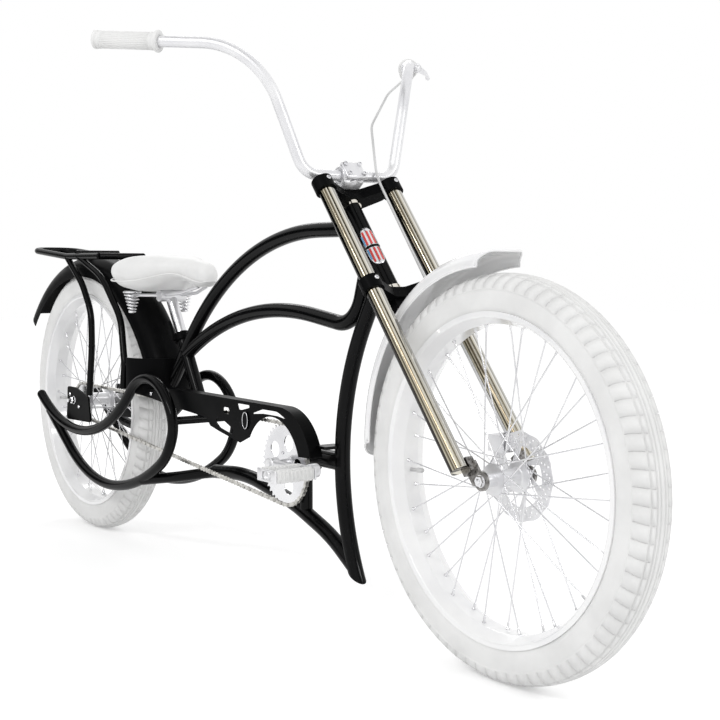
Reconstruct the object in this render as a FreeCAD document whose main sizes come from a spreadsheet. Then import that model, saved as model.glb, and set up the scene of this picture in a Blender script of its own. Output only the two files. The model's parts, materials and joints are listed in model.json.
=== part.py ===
"""Chopper bicycle with a long raked fork and a frame of arched tubes on two looped side hoops.

Millimetres, +X forward, +Y to the rider's left, +Z up. The origin is the middle of the
saddle's top, where the rider sits. Tables below give places on the ground frame, measured
from the point where the rear tyre meets the ground; at() moves them to the part's frame.
"""
import FreeCAD
import Part
import math
import os

V = FreeCAD.Vector
DOC = FreeCAD.newDocument("ChopperBicycle")
UP = V(0, 0, 1)
LEFT = V(0, 1, 0)

# name, millimetres or degrees, what it is
DIMENSIONS = [
    ("saddle_x", 420.0, "middle of the saddle ahead of the rear axle"),
    ("saddle_z", 738.0, "saddle top above the ground"),
    ("wheelbase", 1656.0, "rear axle to front axle"),
    ("tyre_r", 351.0, "outer radius of a 26 by 3 inch tyre"),
    ("tyre_w", 78.0, "tyre width"),
    ("rim_r", 286.5, "outer radius of the rim"),
    ("rim_w", 76.0, "rim width"),
    ("rim_deep", 22.0, "radial depth of the rim"),
    ("axle_r", 5.0, "wheel axle radius"),
    ("fender_gap", 3.0, "crown of the front fender outside the tyre's radius"),
    ("fender_back", 5.0, "centre of the front fender behind the axle"),
    ("fender_up", 35.0, "centre of the front fender above the axle"),
    ("rear_drop", 68.5, "half the space between the rear dropouts"),
    ("dropout_thick", 5.0, "thickness of a dropout"),
    ("front_drop", 52.0, "half the space between the fork ends"),
    ("head_angle", 50.64, "steering axis above the horizontal"),
    ("axis_foot", 1874.0, "where the steering axis meets the ground"),
    ("head_r", 18.0, "head tube radius"),
    ("head_low", 863.0, "lower end of the head tube along the axis"),
    ("head_high", 1066.0, "upper end of the head tube along the axis"),
    ("cup_high", 9.0, "height of a headset cup"),
    ("steerer_r", 14.3, "steerer radius"),
    ("leg_r", 15.9, "fork leg radius"),
    ("leg_side", 80.4, "fork leg to the middle plane"),
    ("leg_lead", 43.3, "fork legs ahead of the steering axis"),
    ("leg_low", 440.0, "lower end of a leg along the axis"),
    ("leg_high", 1090.0, "upper end of a leg along the axis"),
    ("crown_thick", 23.0, "height of a fork crown"),
    ("crown_high", 1075.3, "underside of the upper crown"),
    ("crown_low", 830.7, "underside of the lower crown"),
    ("tube_r", 15.9, "main frame tube radius"),
    ("hoop_r", 12.7, "side hoop tube radius"),
    ("hoop_y", 84.4, "side hoop to the middle plane"),
    ("seat_angle", 59.2, "seat tube above the horizontal"),
    ("seat_length", 219.0, "length of the seat tube"),
    ("post_r", 13.6, "seat post radius"),
    ("shell_r", 20.0, "crank shell radius"),
    ("strut_r", 19.0, "radius of the strut from the crank shell to the down tube"),
    ("crank_r", 11.0, "crank axle radius"),
    ("crank_x", 1025.0, "crank axis ahead of the rear axle"),
    ("crank_z", 301.0, "crank axis above the ground"),
    ("crank_arm", 170.0, "crank arm length"),
    ("chain_y", -47.0, "middle of the chain"),
    ("pitch", 12.7, "chain pitch"),
    ("ring_teeth", 42.0, "teeth of the chainring"),
    ("cog_teeth", 22.0, "teeth of the rear sprocket"),
    ("guard_y", -63.0, "outer face of the chain guard"),
    ("guard_thick", 2.0, "chain guard sheet"),
    ("guard_wide", 30.0, "width of the chain guard's rim"),
    ("bar_r", 11.1, "handlebar radius"),
    ("grip_r", 17.0, "grip radius"),
    ("fender_wide", 100.0, "fender width"),
    ("fender_thick", 2.0, "fender sheet"),
    ("rack_r", 8.5, "rack tube radius"),
    ("rack_side", 62.0, "rack rail to the middle plane"),
    ("rail_r", 4.0, "saddle rail radius"),
    ("spring_low", 7.0, "lower radius of a saddle spring"),
    ("spring_high", 22.0, "upper radius of a saddle spring"),
    ("spring_tall", 53.5, "height of a saddle spring"),
    ("spoke_r", 1.3, "spoke radius"),
    ("spokes", 36.0, "spokes in a wheel"),
]

SHEET = DOC.addObject("Spreadsheet::Sheet", "Dims")
for row, (alias, size, note) in enumerate(DIMENSIONS, start=1):
    SHEET.set("A%d" % row, alias)
    SHEET.set("B%d" % row, str(size))
    SHEET.setAlias("B%d" % row, alias)
    SHEET.set("C%d" % row, note)
DOC.recompute()

PARTS = {}


def size(alias):
    """One dimension of the sheet as a number."""
    return float(getattr(SHEET, alias))


def at(x, y, z):
    """A point of the ground frame in the part's frame."""
    return V(x - size("saddle_x"), y, z - size("saddle_z"))


def steering():
    """Placement whose local Z runs up the steering axis and whose local X leads it."""
    tilt = FreeCAD.Rotation(LEFT, size("head_angle") - 90.0)
    return FreeCAD.Placement(at(size("axis_foot"), 0, 0), tilt)


def on_axis(lead, side, along):
    """A point given ahead of the steering axis, to its left and up along it."""
    return steering().multVec(V(lead, side, along))


def keep(name, item):
    """Name a finished sub-part, whose label is its file's name."""
    item.Label = name
    PARTS[name] = item
    return item


def bind(item, **sizes):
    """Bind properties to expressions on the sheet."""
    for name, expression in sizes.items():
        item.setExpression(name, expression)
    return item


def turn_to(direction):
    """Rotation that takes +Z to a direction."""
    return FreeCAD.Rotation(UP, direction)


def cylinder(name, base, direction, radius, height):
    """A cylinder whose radius and height are expressions on the sheet."""
    item = DOC.addObject("Part::Cylinder", name)
    bind(item, Radius=radius, Height=height)
    item.Placement = FreeCAD.Placement(base, turn_to(direction))
    return item


def block(name, corner, length, width, height, placement=None):
    """A box from its corner, placed by a further placement if one is given."""
    item = DOC.addObject("Part::Box", name)
    bind(item, Length=length, Width=width, Height=height)
    spot = FreeCAD.Placement(corner, FreeCAD.Rotation())
    item.Placement = placement.multiply(spot) if placement else spot
    return item


def fuse(name, items):
    """Join items into one solid."""
    item = DOC.addObject("Part::MultiFuse", name)
    item.Shapes = items
    item.Refine = True
    return item


def cut(name, base, tool):
    """Take a tool away from a base."""
    item = DOC.addObject("Part::Cut", name)
    item.Base = base
    item.Tool = tool
    return item


def group(name, items):
    """Solids that stay apart in one sub-part."""
    item = DOC.addObject("Part::Compound", name)
    item.Links = items
    return item


def feature(name, shape):
    """A shape made with Part's own functions."""
    item = DOC.addObject("Part::Feature", name)
    item.Shape = shape
    return item


def bend_edges(start, heading, rows, side):
    """Straight runs and arcs in a plane of constant Y.

    Each row holds the straight length, then the bend's radius and turn in degrees,
    counted positive upwards from the heading.
    """
    x, z = start
    angle = math.radians(heading)
    edges = []
    for straight, radius, turn in rows:
        if straight:
            ahead = (x + straight * math.cos(angle), z + straight * math.sin(angle))
            edges.append(Part.LineSegment(at(x, side, z), at(ahead[0], side, ahead[1])).toShape())
            x, z = ahead
        if turn:
            sign = 1.0 if turn > 0 else -1.0
            swing = math.radians(abs(turn))
            middle = (x - sign * radius * math.sin(angle), z + sign * radius * math.cos(angle))
            places = []
            for share in (0.5, 1.0):
                now = angle + sign * swing * share
                places.append((middle[0] + sign * radius * math.sin(now),
                               middle[1] - sign * radius * math.cos(now)))
            edges.append(Part.Arc(at(x, side, z), at(places[0][0], side, places[0][1]),
                                  at(places[1][0], side, places[1][1])).toShape())
            x, z = places[1]
            angle += sign * swing
    return edges


def corner_edges(points, radii):
    """Straight runs through points, each inner corner rounded by its radius."""
    edges = []
    start = points[0]
    for before, corner, after, radius in zip(points, points[1:], points[2:], radii):
        back = (before - corner).normalize()
        ahead = (after - corner).normalize()
        half = (math.pi - back.getAngle(ahead)) / 2.0
        reach = radius * math.tan(half)
        enter = corner + back * reach
        leave = corner + ahead * reach
        inward = (back + ahead).normalize()
        top = corner + inward * (radius / math.cos(half) - radius)
        edges.append(Part.LineSegment(start, enter).toShape())
        edges.append(Part.Arc(enter, top, leave).toShape())
        start = leave
    edges.append(Part.LineSegment(start, points[-1]).toShape())
    return edges


def tube(name, edges, radius):
    """A round bar swept along tangent edges."""
    path = feature(name + "_path", Part.Wire(edges))
    first = edges[0]
    tangent = first.tangentAt(first.FirstParameter)
    ring = DOC.addObject("Part::Circle", name + "_ring")
    bind(ring, Radius=radius)
    ring.Placement = FreeCAD.Placement(first.valueAt(first.FirstParameter), turn_to(tangent))
    item = DOC.addObject("Part::Sweep", name)
    item.Sections = [ring]
    item.Spine = (path, ["Edge%d" % (i + 1) for i in range(len(edges))])
    item.Solid = True
    item.Frenet = False
    return item


def rounded(points, radii):
    """Lines and arcs of a closed outline whose corners are rounded where a radius is given."""
    count = len(points)
    starts, tops, ends = [], [], []
    for i, corner in enumerate(points):
        back = (points[i - 1] - corner).normalize()
        ahead = (points[(i + 1) % count] - corner).normalize()
        half = (math.pi - back.getAngle(ahead)) / 2.0
        reach = radii[i] * math.tan(half)
        starts.append(corner + back * reach)
        ends.append(corner + ahead * reach)
        if radii[i]:
            inward = (back + ahead).normalize()
            tops.append(corner + inward * (radii[i] / math.cos(half) - radii[i]))
        else:
            tops.append(None)
    curves = []
    for i in range(count):
        if tops[i] is not None:
            curves.append(Part.Arc(starts[i], tops[i], ends[i]))
        onward = starts[(i + 1) % count]
        if ends[i].distanceToPoint(onward) > 0.001:
            curves.append(Part.LineSegment(ends[i], onward))
    return curves


def wire_of(curves):
    """Closed wire of lines and arcs."""
    return Part.Wire([curve.toShape() for curve in curves])


def sketched(name, rows, place):
    """A body with a sketch of one closed outline.

    Rows hold the two sketch coordinates and the rounding radius of each corner.
    """
    body = DOC.addObject("PartDesign::Body", name)
    body.Placement = place
    sketch = body.newObject("Sketcher::SketchObject", name + "_sketch")
    corners = [V(u, v, 0) for u, v, _ in rows]
    for curve in rounded(corners, [r for _, _, r in rows]):
        sketch.addGeometry(curve, False)
    return body, sketch


def plate(name, outline, side, thick):
    """A flat plate in a plane of constant Y, from side towards the left by its thickness.

    Outline rows hold x, z and the rounding radius of that corner.
    """
    upright = FreeCAD.Placement(at(0, side, 0), FreeCAD.Rotation(V(1, 0, 0), 90.0))
    body, sketch = sketched(name, outline, upright)
    pad = body.newObject("PartDesign::Pad", name + "_pad")
    pad.Profile = sketch
    bind(pad, Length=thick)
    pad.Reversed = True
    return body


def lathe(name, profile, centre, angle="360", start=0.0):
    """Turn a profile of (radius, side, rounding) rows about a line along Y.

    The turn goes from a start angle above the horizontal ahead, upwards.
    """
    place = FreeCAD.Placement(centre, FreeCAD.Rotation(LEFT, -start))
    body, sketch = sketched(name, profile, place)
    turn = body.newObject("PartDesign::Revolution", name + "_turn")
    turn.Profile = sketch
    turn.ReferenceAxis = (sketch, ["V_Axis"])
    bind(turn, Angle=angle)
    turn.Reversed = True
    return body


def make_head():
    """Head tube between two bright headset cups."""
    outer = cylinder("head_outer", on_axis(0, 0, size("head_low")), axis_up(), "Dims.head_r",
                     "Dims.head_high - Dims.head_low")
    inner = cylinder("head_bore", on_axis(0, 0, size("head_low")), axis_up(),
                     "Dims.steerer_r + 1", "Dims.head_high - Dims.head_low")
    keep("head_tube", cut("head_tube", outer, inner))
    cups = []
    for name, low in (("lower", "Dims.head_low - Dims.cup_high"), ("upper", "Dims.head_high")):
        base = size("head_low") - size("cup_high") if name == "lower" else size("head_high")
        ring = cylinder(name + "_cup_ring", on_axis(0, 0, base), axis_up(), "Dims.head_r + 2.5",
                        "Dims.cup_high")
        hole = cylinder(name + "_cup_hole", on_axis(0, 0, base), axis_up(),
                        "Dims.steerer_r + 0.06", "Dims.cup_high")
        cups.append(cut(name + "_cup", ring, hole))
    keep("headset_cups", group("headset_cups", cups))
    return outer


def axis_up():
    """Direction of the steering axis."""
    return steering().Rotation.multVec(UP)


def seat_line():
    """Foot of the seat tube's axis and its direction upwards."""
    angle = math.radians(size("seat_angle"))
    return at(594.0, 0, 360.0), V(-math.cos(angle), 0, math.sin(angle))


def make_main_tubes(head):
    """Top, middle and down tubes, coped to the head tube, the seat tube and each other."""
    foot, rise = seat_line()
    seat = cylinder("seat_outer", foot, rise, "Dims.tube_r", "Dims.seat_length")
    edges = bend_edges((1229.4, 786.0), 180.0, [(142.4, 750.0, 50.9)], 0)
    top_bar = tube("top_bar", edges, "Dims.tube_r - 0.2")
    keep("top_tube", cut("top_tube", cut("top_fore", top_bar, head), seat))
    edges = bend_edges((1300.0, 700.0), 239.5, [(115.0, 545.0, 58.0), (12.0, 0, 0)], 0)
    down_bar = tube("down_bar", edges, "Dims.tube_r")
    under_place = FreeCAD.Placement(at(1247.0, 0, 80.0), FreeCAD.Rotation(LEFT, 27.0))
    under = block("tip_slice", V(-200.0, -60.0, -200.0), "400", "120", "200", under_place)
    keep("down_tube", cut("down_tube", cut("down_fore", down_bar, head), under))
    edges = bend_edges((511.0, 500.6), 30.0,
                             [(0, 880.0, -37.5), (86.0, 75.0, 80.0), (96.0, 0, 0)], 0)
    middle_bar = tube("middle_bar", edges, "Dims.tube_r - 0.2")
    trims = fuse("middle_trims", [top_bar, down_bar, head, seat])
    keep("middle_tube", cut("middle_tube", middle_bar, trims))
    return down_bar


HOOP_START = (-198.0, 352.0)
HOOP_HEADING = -32.8
# straight run, bend radius, turn: sag under the axle, over the crest, round the front, back
HOOP_BENDS = [
    (4.3, 458.9, 74.2),
    (27.5, 134.6, -105.9),
    (0, 63.9, -46.2),
    (0, 148.9, -39.0),
    (7.4, 601.1, -25.6),
    (0, 426.6, -38.0),
    (160.0, 0, 0),
]
BRIDGE_X = 356.0
BRIDGE_R = 88.0


def make_hoops():
    """One bent tube a side: it sags under the axle, loops forwards and returns to its tip."""
    for name, side in (("hoop_right", -1.0), ("hoop_left", 1.0)):
        edges = bend_edges(HOOP_START, HOOP_HEADING, HOOP_BENDS[:4],
                                 side * size("hoop_y"))
        front = tube(name + "_front", edges, "Dims.hoop_r")
        rest = bend_edges(HOOP_START, HOOP_HEADING, HOOP_BENDS, side * size("hoop_y"))
        rear = tube(name + "_rear", rest[len(edges):], "Dims.hoop_r")
        ball = DOC.addObject("Part::Sphere", name + "_tip")
        bind(ball, Radius="Dims.hoop_r")
        ball.Placement.Base = at(HOOP_START[0], side * size("hoop_y"), HOOP_START[1])
        keep(name, fuse(name, [front, rear, ball]))


def make_keel(down_bar):
    """Two tubes from the hoops' bottoms run together into one that meets the down tube."""
    spine = [at(648, 0, 233), at(790, 0, 246), at(985, 0, 210), at(1130, 0, 161),
             at(1207, 0, 113.3)]
    front = tube("keel_front", corner_edges(spine, [500.0, 700.0, 400.0]), "Dims.tube_r")
    nose = DOC.addObject("Part::Sphere", "keel_nose")
    bind(nose, Radius="Dims.tube_r")
    nose.Placement.Base = spine[0]
    sides = []
    for name, side in (("right", -1.0), ("left", 1.0)):
        run = [at(436, side * size("hoop_y"), 193), at(555, side * 50, 213),
               at(645, side * 6, 232), at(700, side * 2, 237)]
        sides.append(tube("keel_" + name, corner_edges(run, [260.0, 60.0]), "Dims.hoop_r"))
    whole = fuse("keel_whole", [front, nose] + sides)
    trims = fuse("keel_trims", [down_bar, DOC.getObject("hoop_right"),
                                DOC.getObject("hoop_left")])
    keep("keel", cut("keel", whole, trims))
    return whole


def make_bottom_bracket(keel, down_bar):
    """Crank shell on a short post from the keel, tied forwards to the down tube."""
    shell_x, shell_z = size("crank_x"), size("crank_z")
    shell = cylinder("bb_shell", at(shell_x, -34, shell_z), LEFT, "Dims.shell_r", "68")
    post = cylinder("bb_post", at(shell_x + 8, 0, shell_z), V(0, 0, -1), "13.5", "112")
    strut = cylinder("bb_strut", at(shell_x, 0, shell_z + 18), V(1, 0, 0), "Dims.strut_r", "142")
    whole = fuse("bb_whole", [shell, post, strut])
    bore = cylinder("bb_bore", at(shell_x, -40, shell_z), LEFT, "Dims.crank_r + 0.06", "80")
    trims = fuse("bb_trims", [keel, down_bar, bore])
    keep("bottom_bracket", cut("bottom_bracket", whole, trims))


def make_seat_tube():
    """Slanting seat tube with its tie bar to both hoops, the post, its collar and a stay."""
    foot, rise = seat_line()
    outer = DOC.getObject("seat_outer")
    bore = cylinder("seat_bore", foot + rise * 60.0, rise, "Dims.post_r", "300")
    tie = cylinder("seat_tie", at(594, -size("hoop_y"), 352), LEFT, "9.5", "2 * Dims.hoop_y")
    whole = fuse("seat_whole", [outer, tie])
    hollow = fuse("seat_hollow", [DOC.getObject("hoop_right"), DOC.getObject("hoop_left"), bore])
    keep("seat_tube", cut("seat_tube", whole, hollow))
    keep("seat_post", cylinder("seat_post", foot + rise * 100.0, rise, "Dims.post_r", "228"))
    collar = cylinder("collar_ring", foot + rise * 200.0, rise, "Dims.tube_r + 4", "19")
    inner = cylinder("collar_hole", foot + rise * 190.0, rise, "Dims.tube_r", "40")
    lever = block("collar_lever", V(-4, -28, 0), "8", "7", "48",
                  FreeCAD.Placement(foot + rise * 206.0, turn_to(rise)))
    ear = block("collar_ear", V(-5, -26, 3), "10", "12", "12",
                FreeCAD.Placement(foot + rise * 200.0, turn_to(rise)))
    clamp = fuse("collar_whole", [collar, lever, ear])
    keep("seat_clamp", cut("seat_clamp", clamp, inner))
    head = at(505.0, 0, 509.0)
    heel = at(432.0, 0, 425.0)
    stay = cylinder("stay_bar", head, heel - head, "Dims.tube_r - 0.3",
                    str(round((heel - head).Length, 1)))
    yoke = cylinder("stay_mitre", at(BRIDGE_X, 0, 380.0), UP, str(BRIDGE_R), "160")
    keep("seat_stay", cut("seat_stay", cut("stay_fore", stay, outer), yoke))


def make_bridge():
    """Plate bent round the front of the rear tyre, from one hoop to the other."""
    outer = cylinder("bridge_outer", at(BRIDGE_X, 0, 402.0), UP, str(BRIDGE_R), "85")
    inner = cylinder("bridge_inner", at(BRIDGE_X, 0, 400.0), UP, str(BRIDGE_R - 6.0), "90")
    rear = block("bridge_rear", at(BRIDGE_X - 100.0, -100, 400.0), "100", "200", "90")
    ring = cut("bridge_ring", cut("bridge_sleeve", outer, inner), rear)
    hoops = fuse("bridge_hoops", [DOC.getObject("hoop_right"), DOC.getObject("hoop_left")])
    keep("rear_bridge", cut("rear_bridge", ring, hoops))


def make_dropouts():
    """Thick plates inside the hoops that hold the rear axle."""
    outline = [(-42, 386, 8), (10, 386, 20), (92, 366, 8), (104, 300, 8), (-52, 296, 8),
               (-46, 330, 8)]
    plates = []
    for name, side in (("right", -size("rear_drop") - 5.0), ("left", size("rear_drop"))):
        sheet = plate("dropout_%s_plate" % name, outline, side, "Dims.dropout_thick")
        hole = cylinder("dropout_%s_hole" % name, at(0, side - 1, size("tyre_r")), LEFT,
                        "Dims.axle_r + 0.05", "Dims.dropout_thick + 2")
        plates.append(cut("dropout_" + name, sheet, hole))
    hoops = fuse("dropout_hoops", [DOC.getObject("hoop_right"), DOC.getObject("hoop_left")])
    trimmed = [cut(p.Name + "_trimmed", p, hoops) for p in plates]
    keep("dropouts", group("dropouts", trimmed))


# x, z and corner radius of each opening in the guard
GUARD_WINDOWS = [
    [(788, 402, 5), (820, 402, 5), (824, 386, 5), (800, 388, 5)],
    [(746, 374, 6), (790, 374, 10), (838, 356, 5), (834, 344, 4), (780, 354, 20)],
    [(856, 415, 4), (930, 415, 3), (874, 402, 4), (856, 402, 4)],
    [(912, 397, 1), (960, 411, 50), (1020, 411, 50), (1054, 398, 1), (1018, 402, 50),
     (962, 402, 50)],
]
GUARD_OUTER_R = 121.0
GUARD_TOP = [(305.0, 402.0), (564.0, 423.0)]
# front end, middle and rear end of the hollow round the chainring
GUARD_HOLLOW = [(1099.0, 326.0), (1046.0, 387.0), (906.0, 346.0)]
GUARD_LOW = [(866.0, 330.0), (779.0, 345.0), (735.0, 354.0), (716.0, 371.0), (560.0, 381.0),
             (430.0, 393.0), (305.0, 398.0)]


def guard_crest(shrink):
    """Curves of the guard's top and front, drawn in by an amount."""
    centre = V(size("crank_x"), 0, size("crank_z"))
    radius = GUARD_OUTER_R - shrink

    def rim(degrees):
        turn = math.radians(degrees)
        return at(centre.x + radius * math.cos(turn), size("guard_y"),
                  centre.z + radius * math.sin(turn))

    knots = [at(x, size("guard_y"), z - shrink) for x, z in GUARD_TOP]
    return [Part.LineSegment(knots[0], knots[1]), Part.LineSegment(knots[1], rim(91.0)),
            Part.Arc(rim(91.0), rim(52.0), rim(13.0))]


def make_guard():
    """Openwork chain guard: a plate with a rim turned inwards along its top and front."""
    face_y, thick = size("guard_y"), size("guard_thick")
    crest = guard_crest(0.0)
    hollow = [at(x, face_y, z) for x, z in GUARD_HOLLOW]
    low = [at(x, face_y, z) for x, z in GUARD_LOW]
    curves = crest + [Part.LineSegment(crest[-1].EndPoint, hollow[0]), Part.Arc(*hollow)]
    for start, end in zip([hollow[2]] + low, low + [crest[0].StartPoint]):
        curves.append(Part.LineSegment(start, end))
    sheet = feature("guard_sheet", Part.Face(wire_of(curves)).extrude(V(0, thick, 0)))
    inside = guard_crest(thick)
    band = crest + [Part.LineSegment(crest[-1].EndPoint, inside[-1].EndPoint)]
    band += inside + [Part.LineSegment(inside[0].StartPoint, crest[0].StartPoint)]
    edges = Part.__sortEdges__([curve.toShape() for curve in band])
    strip = Part.Face(Part.Wire(edges)).extrude(V(0, size("guard_wide"), 0))
    whole = fuse("guard_whole", [sheet, feature("guard_rim", strip)])
    holes = [plate("guard_window_%d" % number, outline, face_y - 5.0, "12")
             for number, outline in enumerate(GUARD_WINDOWS)]
    holes.append(cylinder("guard_clearance", at(0, -46, size("tyre_r")), LEFT,
                          "Dims.tyre_r + 7", "92"))
    holes.append(DOC.getObject("rear_bridge"))
    keep("chain_guard", cut("chain_guard", whole, fuse("guard_windows", holes)))
    bar = block("guard_bar", at(1134, -44, 347), "36", "44", "6")
    trims = fuse("guard_bar_trims", [DOC.getObject("down_bar"), DOC.getObject("chain_guard")])
    keep("guard_bracket", cut("guard_bracket", bar, trims))


def make_badge():
    """Plain oval badge in front of the guard's openwork."""
    ring = Part.Ellipse(at(893, size("guard_y") - 3.0, 381), 19.0, 12.0)
    face = Part.Face(Part.Wire([ring.toShape()]))
    face.rotate(at(893, size("guard_y") - 3.0, 381), V(1, 0, 0), 90)
    face.rotate(at(893, size("guard_y") - 3.0, 381), LEFT, 90)
    keep("guard_badge", feature("guard_badge", face.extrude(V(0, 3.0, 0))))


def make_fender(name, centre, crown, deep, start, angle):
    """Round fender turned about a centre from a start angle, open inwards."""
    side, thick = size("fender_wide") / 2.0, size("fender_thick")
    shoulder = deep * 0.75
    outer = [(crown - deep, -side, 0), (crown, -side, shoulder), (crown, side, shoulder),
             (crown - deep, side, 0)]
    inner = [(crown - deep, side - thick, 0), (crown - thick, side - thick, shoulder - thick),
             (crown - thick, thick - side, shoulder - thick), (crown - deep, thick - side, 0)]
    return lathe(name, outer + inner, centre, angle, start)


# points of a rack rail from its front end to the cross part, and its bends
RACK_RAIL = [(150.0, 738.0), (-60.0, 738.0), (-308.0, 758.0)]


def make_rack():
    """Rear rack: a loop of tube that rises to the rear, on two stays a side."""
    side = size("rack_side")
    right = [at(x, -side, z) for x, z in RACK_RAIL]
    left = [at(x, side, z) for x, z in reversed(RACK_RAIL)]
    deck = corner_edges(right + left, [400.0, 50.0, 50.0, 400.0])
    pieces = [tube("rack_deck", deck, "Dims.rack_r")]
    for name, sign in (("right", -1.0), ("left", 1.0)):
        y = sign * side
        front = [at(330, sign * 84, 408), at(322, sign * 76, 470), at(275, y, 580),
                 at(165, y, 685), at(13, y, 738)]
        rear = [at(96, sign * 71, 372), at(114, sign * 70, 500), at(95, y, 590), at(40, y, 665),
                at(-60, y, 738)]
        pieces.append(tube("rack_front_" + name, corner_edges(front, [60.0, 160.0, 200.0]),
                           "Dims.rack_r"))
        pieces.append(tube("rack_rear_" + name, corner_edges(rear, [160.0, 160.0, 160.0]),
                           "Dims.rack_r"))
    for number, x in enumerate((1.0, 148.0)):
        lift = 8.2 if number == 0 else 0.0
        pieces.append(cylinder("rack_cross_%d" % number, at(x, -side, 738.0 + lift), LEFT,
                               "Dims.rack_r", "2 * Dims.rack_side"))
    whole = fuse("rack_whole", pieces)
    trims = fuse("rack_trims", [DOC.getObject("hoop_right"), DOC.getObject("hoop_left"),
                                DOC.getObject("dropouts"), DOC.getObject("rear_fender")])
    keep("rear_rack", cut("rear_rack", whole, trims))


# stations of the saddle: x, half width, top and bottom above the ground
SADDLE_STATIONS = [
    (296.0, 62.0, 716.0, 676.0),
    (318.0, 112.0, 730.0, 656.0),
    (365.0, 125.0, 737.0, 651.0),
    (440.0, 104.0, 738.0, 655.0),
    (505.0, 62.0, 730.0, 674.0),
    (565.0, 36.0, 723.0, 668.0),
    (615.0, 29.0, 714.0, 656.0),
    (634.0, 20.0, 702.0, 664.0),
]


def make_saddle():
    """Broad saddle on rails, with a conical spring under each rear corner."""
    rings = []
    for x, half, top, bottom in SADDLE_STATIONS:
        corners = [at(x, -half, bottom), at(x, half, bottom), at(x, half, top), at(x, -half, top)]
        soft = min(half, top - bottom) * 0.42
        rings.append(wire_of(rounded(corners, [soft * 0.4, soft * 0.4, soft, soft])))
    keep("saddle", feature("saddle", Part.makeLoft(rings, True, True)))
    rails, springs = [], []
    for name, sign in (("right", -1.0), ("left", 1.0)):
        run = [at(590, sign * 10, 664), at(520, sign * 22, 648), at(430, sign * 22, 641),
               at(362, sign * 70, 641)]
        rails.append(tube("rail_" + name, corner_edges(run, [60.0, 40.0]), "Dims.rail_r"))
        cone = DOC.addObject("Part::Cone", "spring_" + name)
        bind(cone, Radius1="Dims.spring_low", Radius2="Dims.spring_high", Height="Dims.spring_tall")
        cone.Placement.Base = at(362, sign * 72, 597)
        springs.append(cut("spring_%s_cut" % name, cone, DOC.getObject("rail_" + name)))
    clamp = cylinder("rail_clamp", at(430, -34, 641), LEFT, "15", "68")
    whole = fuse("undercarriage_whole", rails + [clamp])
    trims = fuse("undercarriage_trims", [DOC.getObject("seat_post"), DOC.getObject("saddle")])
    keep("saddle_frame", cut("saddle_frame", whole, trims))
    keep("saddle_springs", group("saddle_springs", springs))


def make_chain():
    """Closed loop of chain whose outline shows each link, open where the teeth run."""
    ring = size("pitch") / (2.0 * math.sin(math.pi / size("ring_teeth")))
    cog = size("pitch") / (2.0 * math.sin(math.pi / size("cog_teeth")))
    ahead = V(size("crank_x"), 0, size("crank_z"))
    behind = V(0, 0, size("tyre_r"))
    gap = ahead - behind
    reach = gap.Length
    lean = math.atan2(gap.z, gap.x)
    wrap = math.asin((ring - cog) / reach)
    run = reach * math.cos(wrap)
    front_turn = math.pi + 2.0 * wrap
    rear_turn = math.pi - 2.0 * wrap
    total = 2.0 * run + ring * front_turn + cog * rear_turn
    links = int(round(total / size("pitch")))

    def spot(travel, grow):
        """Point and grow along the loop after a travel from the top run's rear end."""
        normal = lean + math.pi / 2.0 + wrap
        if travel < run:
            base = behind + V(math.cos(normal), 0, math.sin(normal)) * (cog + grow)
            along = normal - math.pi / 2.0
            return base + V(math.cos(along), 0, math.sin(along)) * travel
        travel -= run
        if travel < ring * front_turn:
            a = normal - travel / ring
            return ahead + V(math.cos(a), 0, math.sin(a)) * (ring + grow)
        travel -= ring * front_turn
        normal -= front_turn
        if travel < run:
            base = ahead + V(math.cos(normal), 0, math.sin(normal)) * (ring + grow)
            along = normal - math.pi / 2.0
            return base + V(math.cos(along), 0, math.sin(along)) * travel
        travel -= run
        a = normal - travel / cog
        return behind + V(math.cos(a), 0, math.sin(a)) * (cog + grow)

    step = total / links
    loops = []
    for sign in (1.0, -1.0):
        points = []
        for link in range(links):
            for share, half in ((0.0, 4.3), (0.5, 3.0)):
                p = spot((link + share) * step, sign * half)
                points.append(at(p.x, size("chain_y") - 3.6, p.z))
        loops.append(Part.Wire(Part.makePolygon(points + [points[0]]).Edges))
    solids = [Part.Face(loop).extrude(V(0, 7.2, 0)) for loop in loops]
    band = feature("chain_band", solids[0].cut(solids[1]))
    slots = []
    for name, centre, radius in (("ring", ahead, ring), ("cog", behind, cog)):
        slots.append(cylinder("chain_slot_" + name, at(centre.x, size("chain_y") - 1.7, centre.z),
                              LEFT, str(round(radius + 3.4, 2)), "3.4"))
    keep("chain", cut("chain", band, fuse("chain_slots", slots)))


def toothed(name, teeth, thick, bore, window_count):
    """Sprocket with pointed teeth between the rollers, windows round its web and a bore."""
    pitch_r = size("pitch") / (2.0 * math.sin(math.pi / teeth))
    rows = []
    for tooth in range(int(teeth)):
        for share, radius in ((-0.22, pitch_r - 4.0), (0.22, pitch_r - 4.0),
                              (0.42, pitch_r + 2.2), (0.58, pitch_r + 2.2)):
            a = 2.0 * math.pi * (tooth + share) / teeth
            rows.append((radius * math.cos(a), radius * math.sin(a), 0))
    upright = FreeCAD.Placement(V(0, 0, 0), FreeCAD.Rotation(V(1, 0, 0), 90.0))
    blank, sketch = sketched(name + "_blank", rows, upright)
    pad = blank.newObject("PartDesign::Pad", name + "_pad")
    pad.Profile = sketch
    bind(pad, Length=str(thick))
    pad.Reversed = True
    holes = [cylinder(name + "_bore", V(0, -1, 0), LEFT, bore, str(thick + 2.0))]
    for window in range(window_count):
        a = 2.0 * math.pi * window / window_count
        holes.append(cylinder("%s_window_%d" % (name, window),
                              V(pitch_r * 0.56 * math.cos(a), -1, pitch_r * 0.56 * math.sin(a)),
                              LEFT, str(round(pitch_r * 0.2, 2)), str(thick + 2.0)))
    tool = fuse(name + "_holes", holes) if len(holes) > 1 else holes[0]
    return cut(name, blank, tool)


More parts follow.
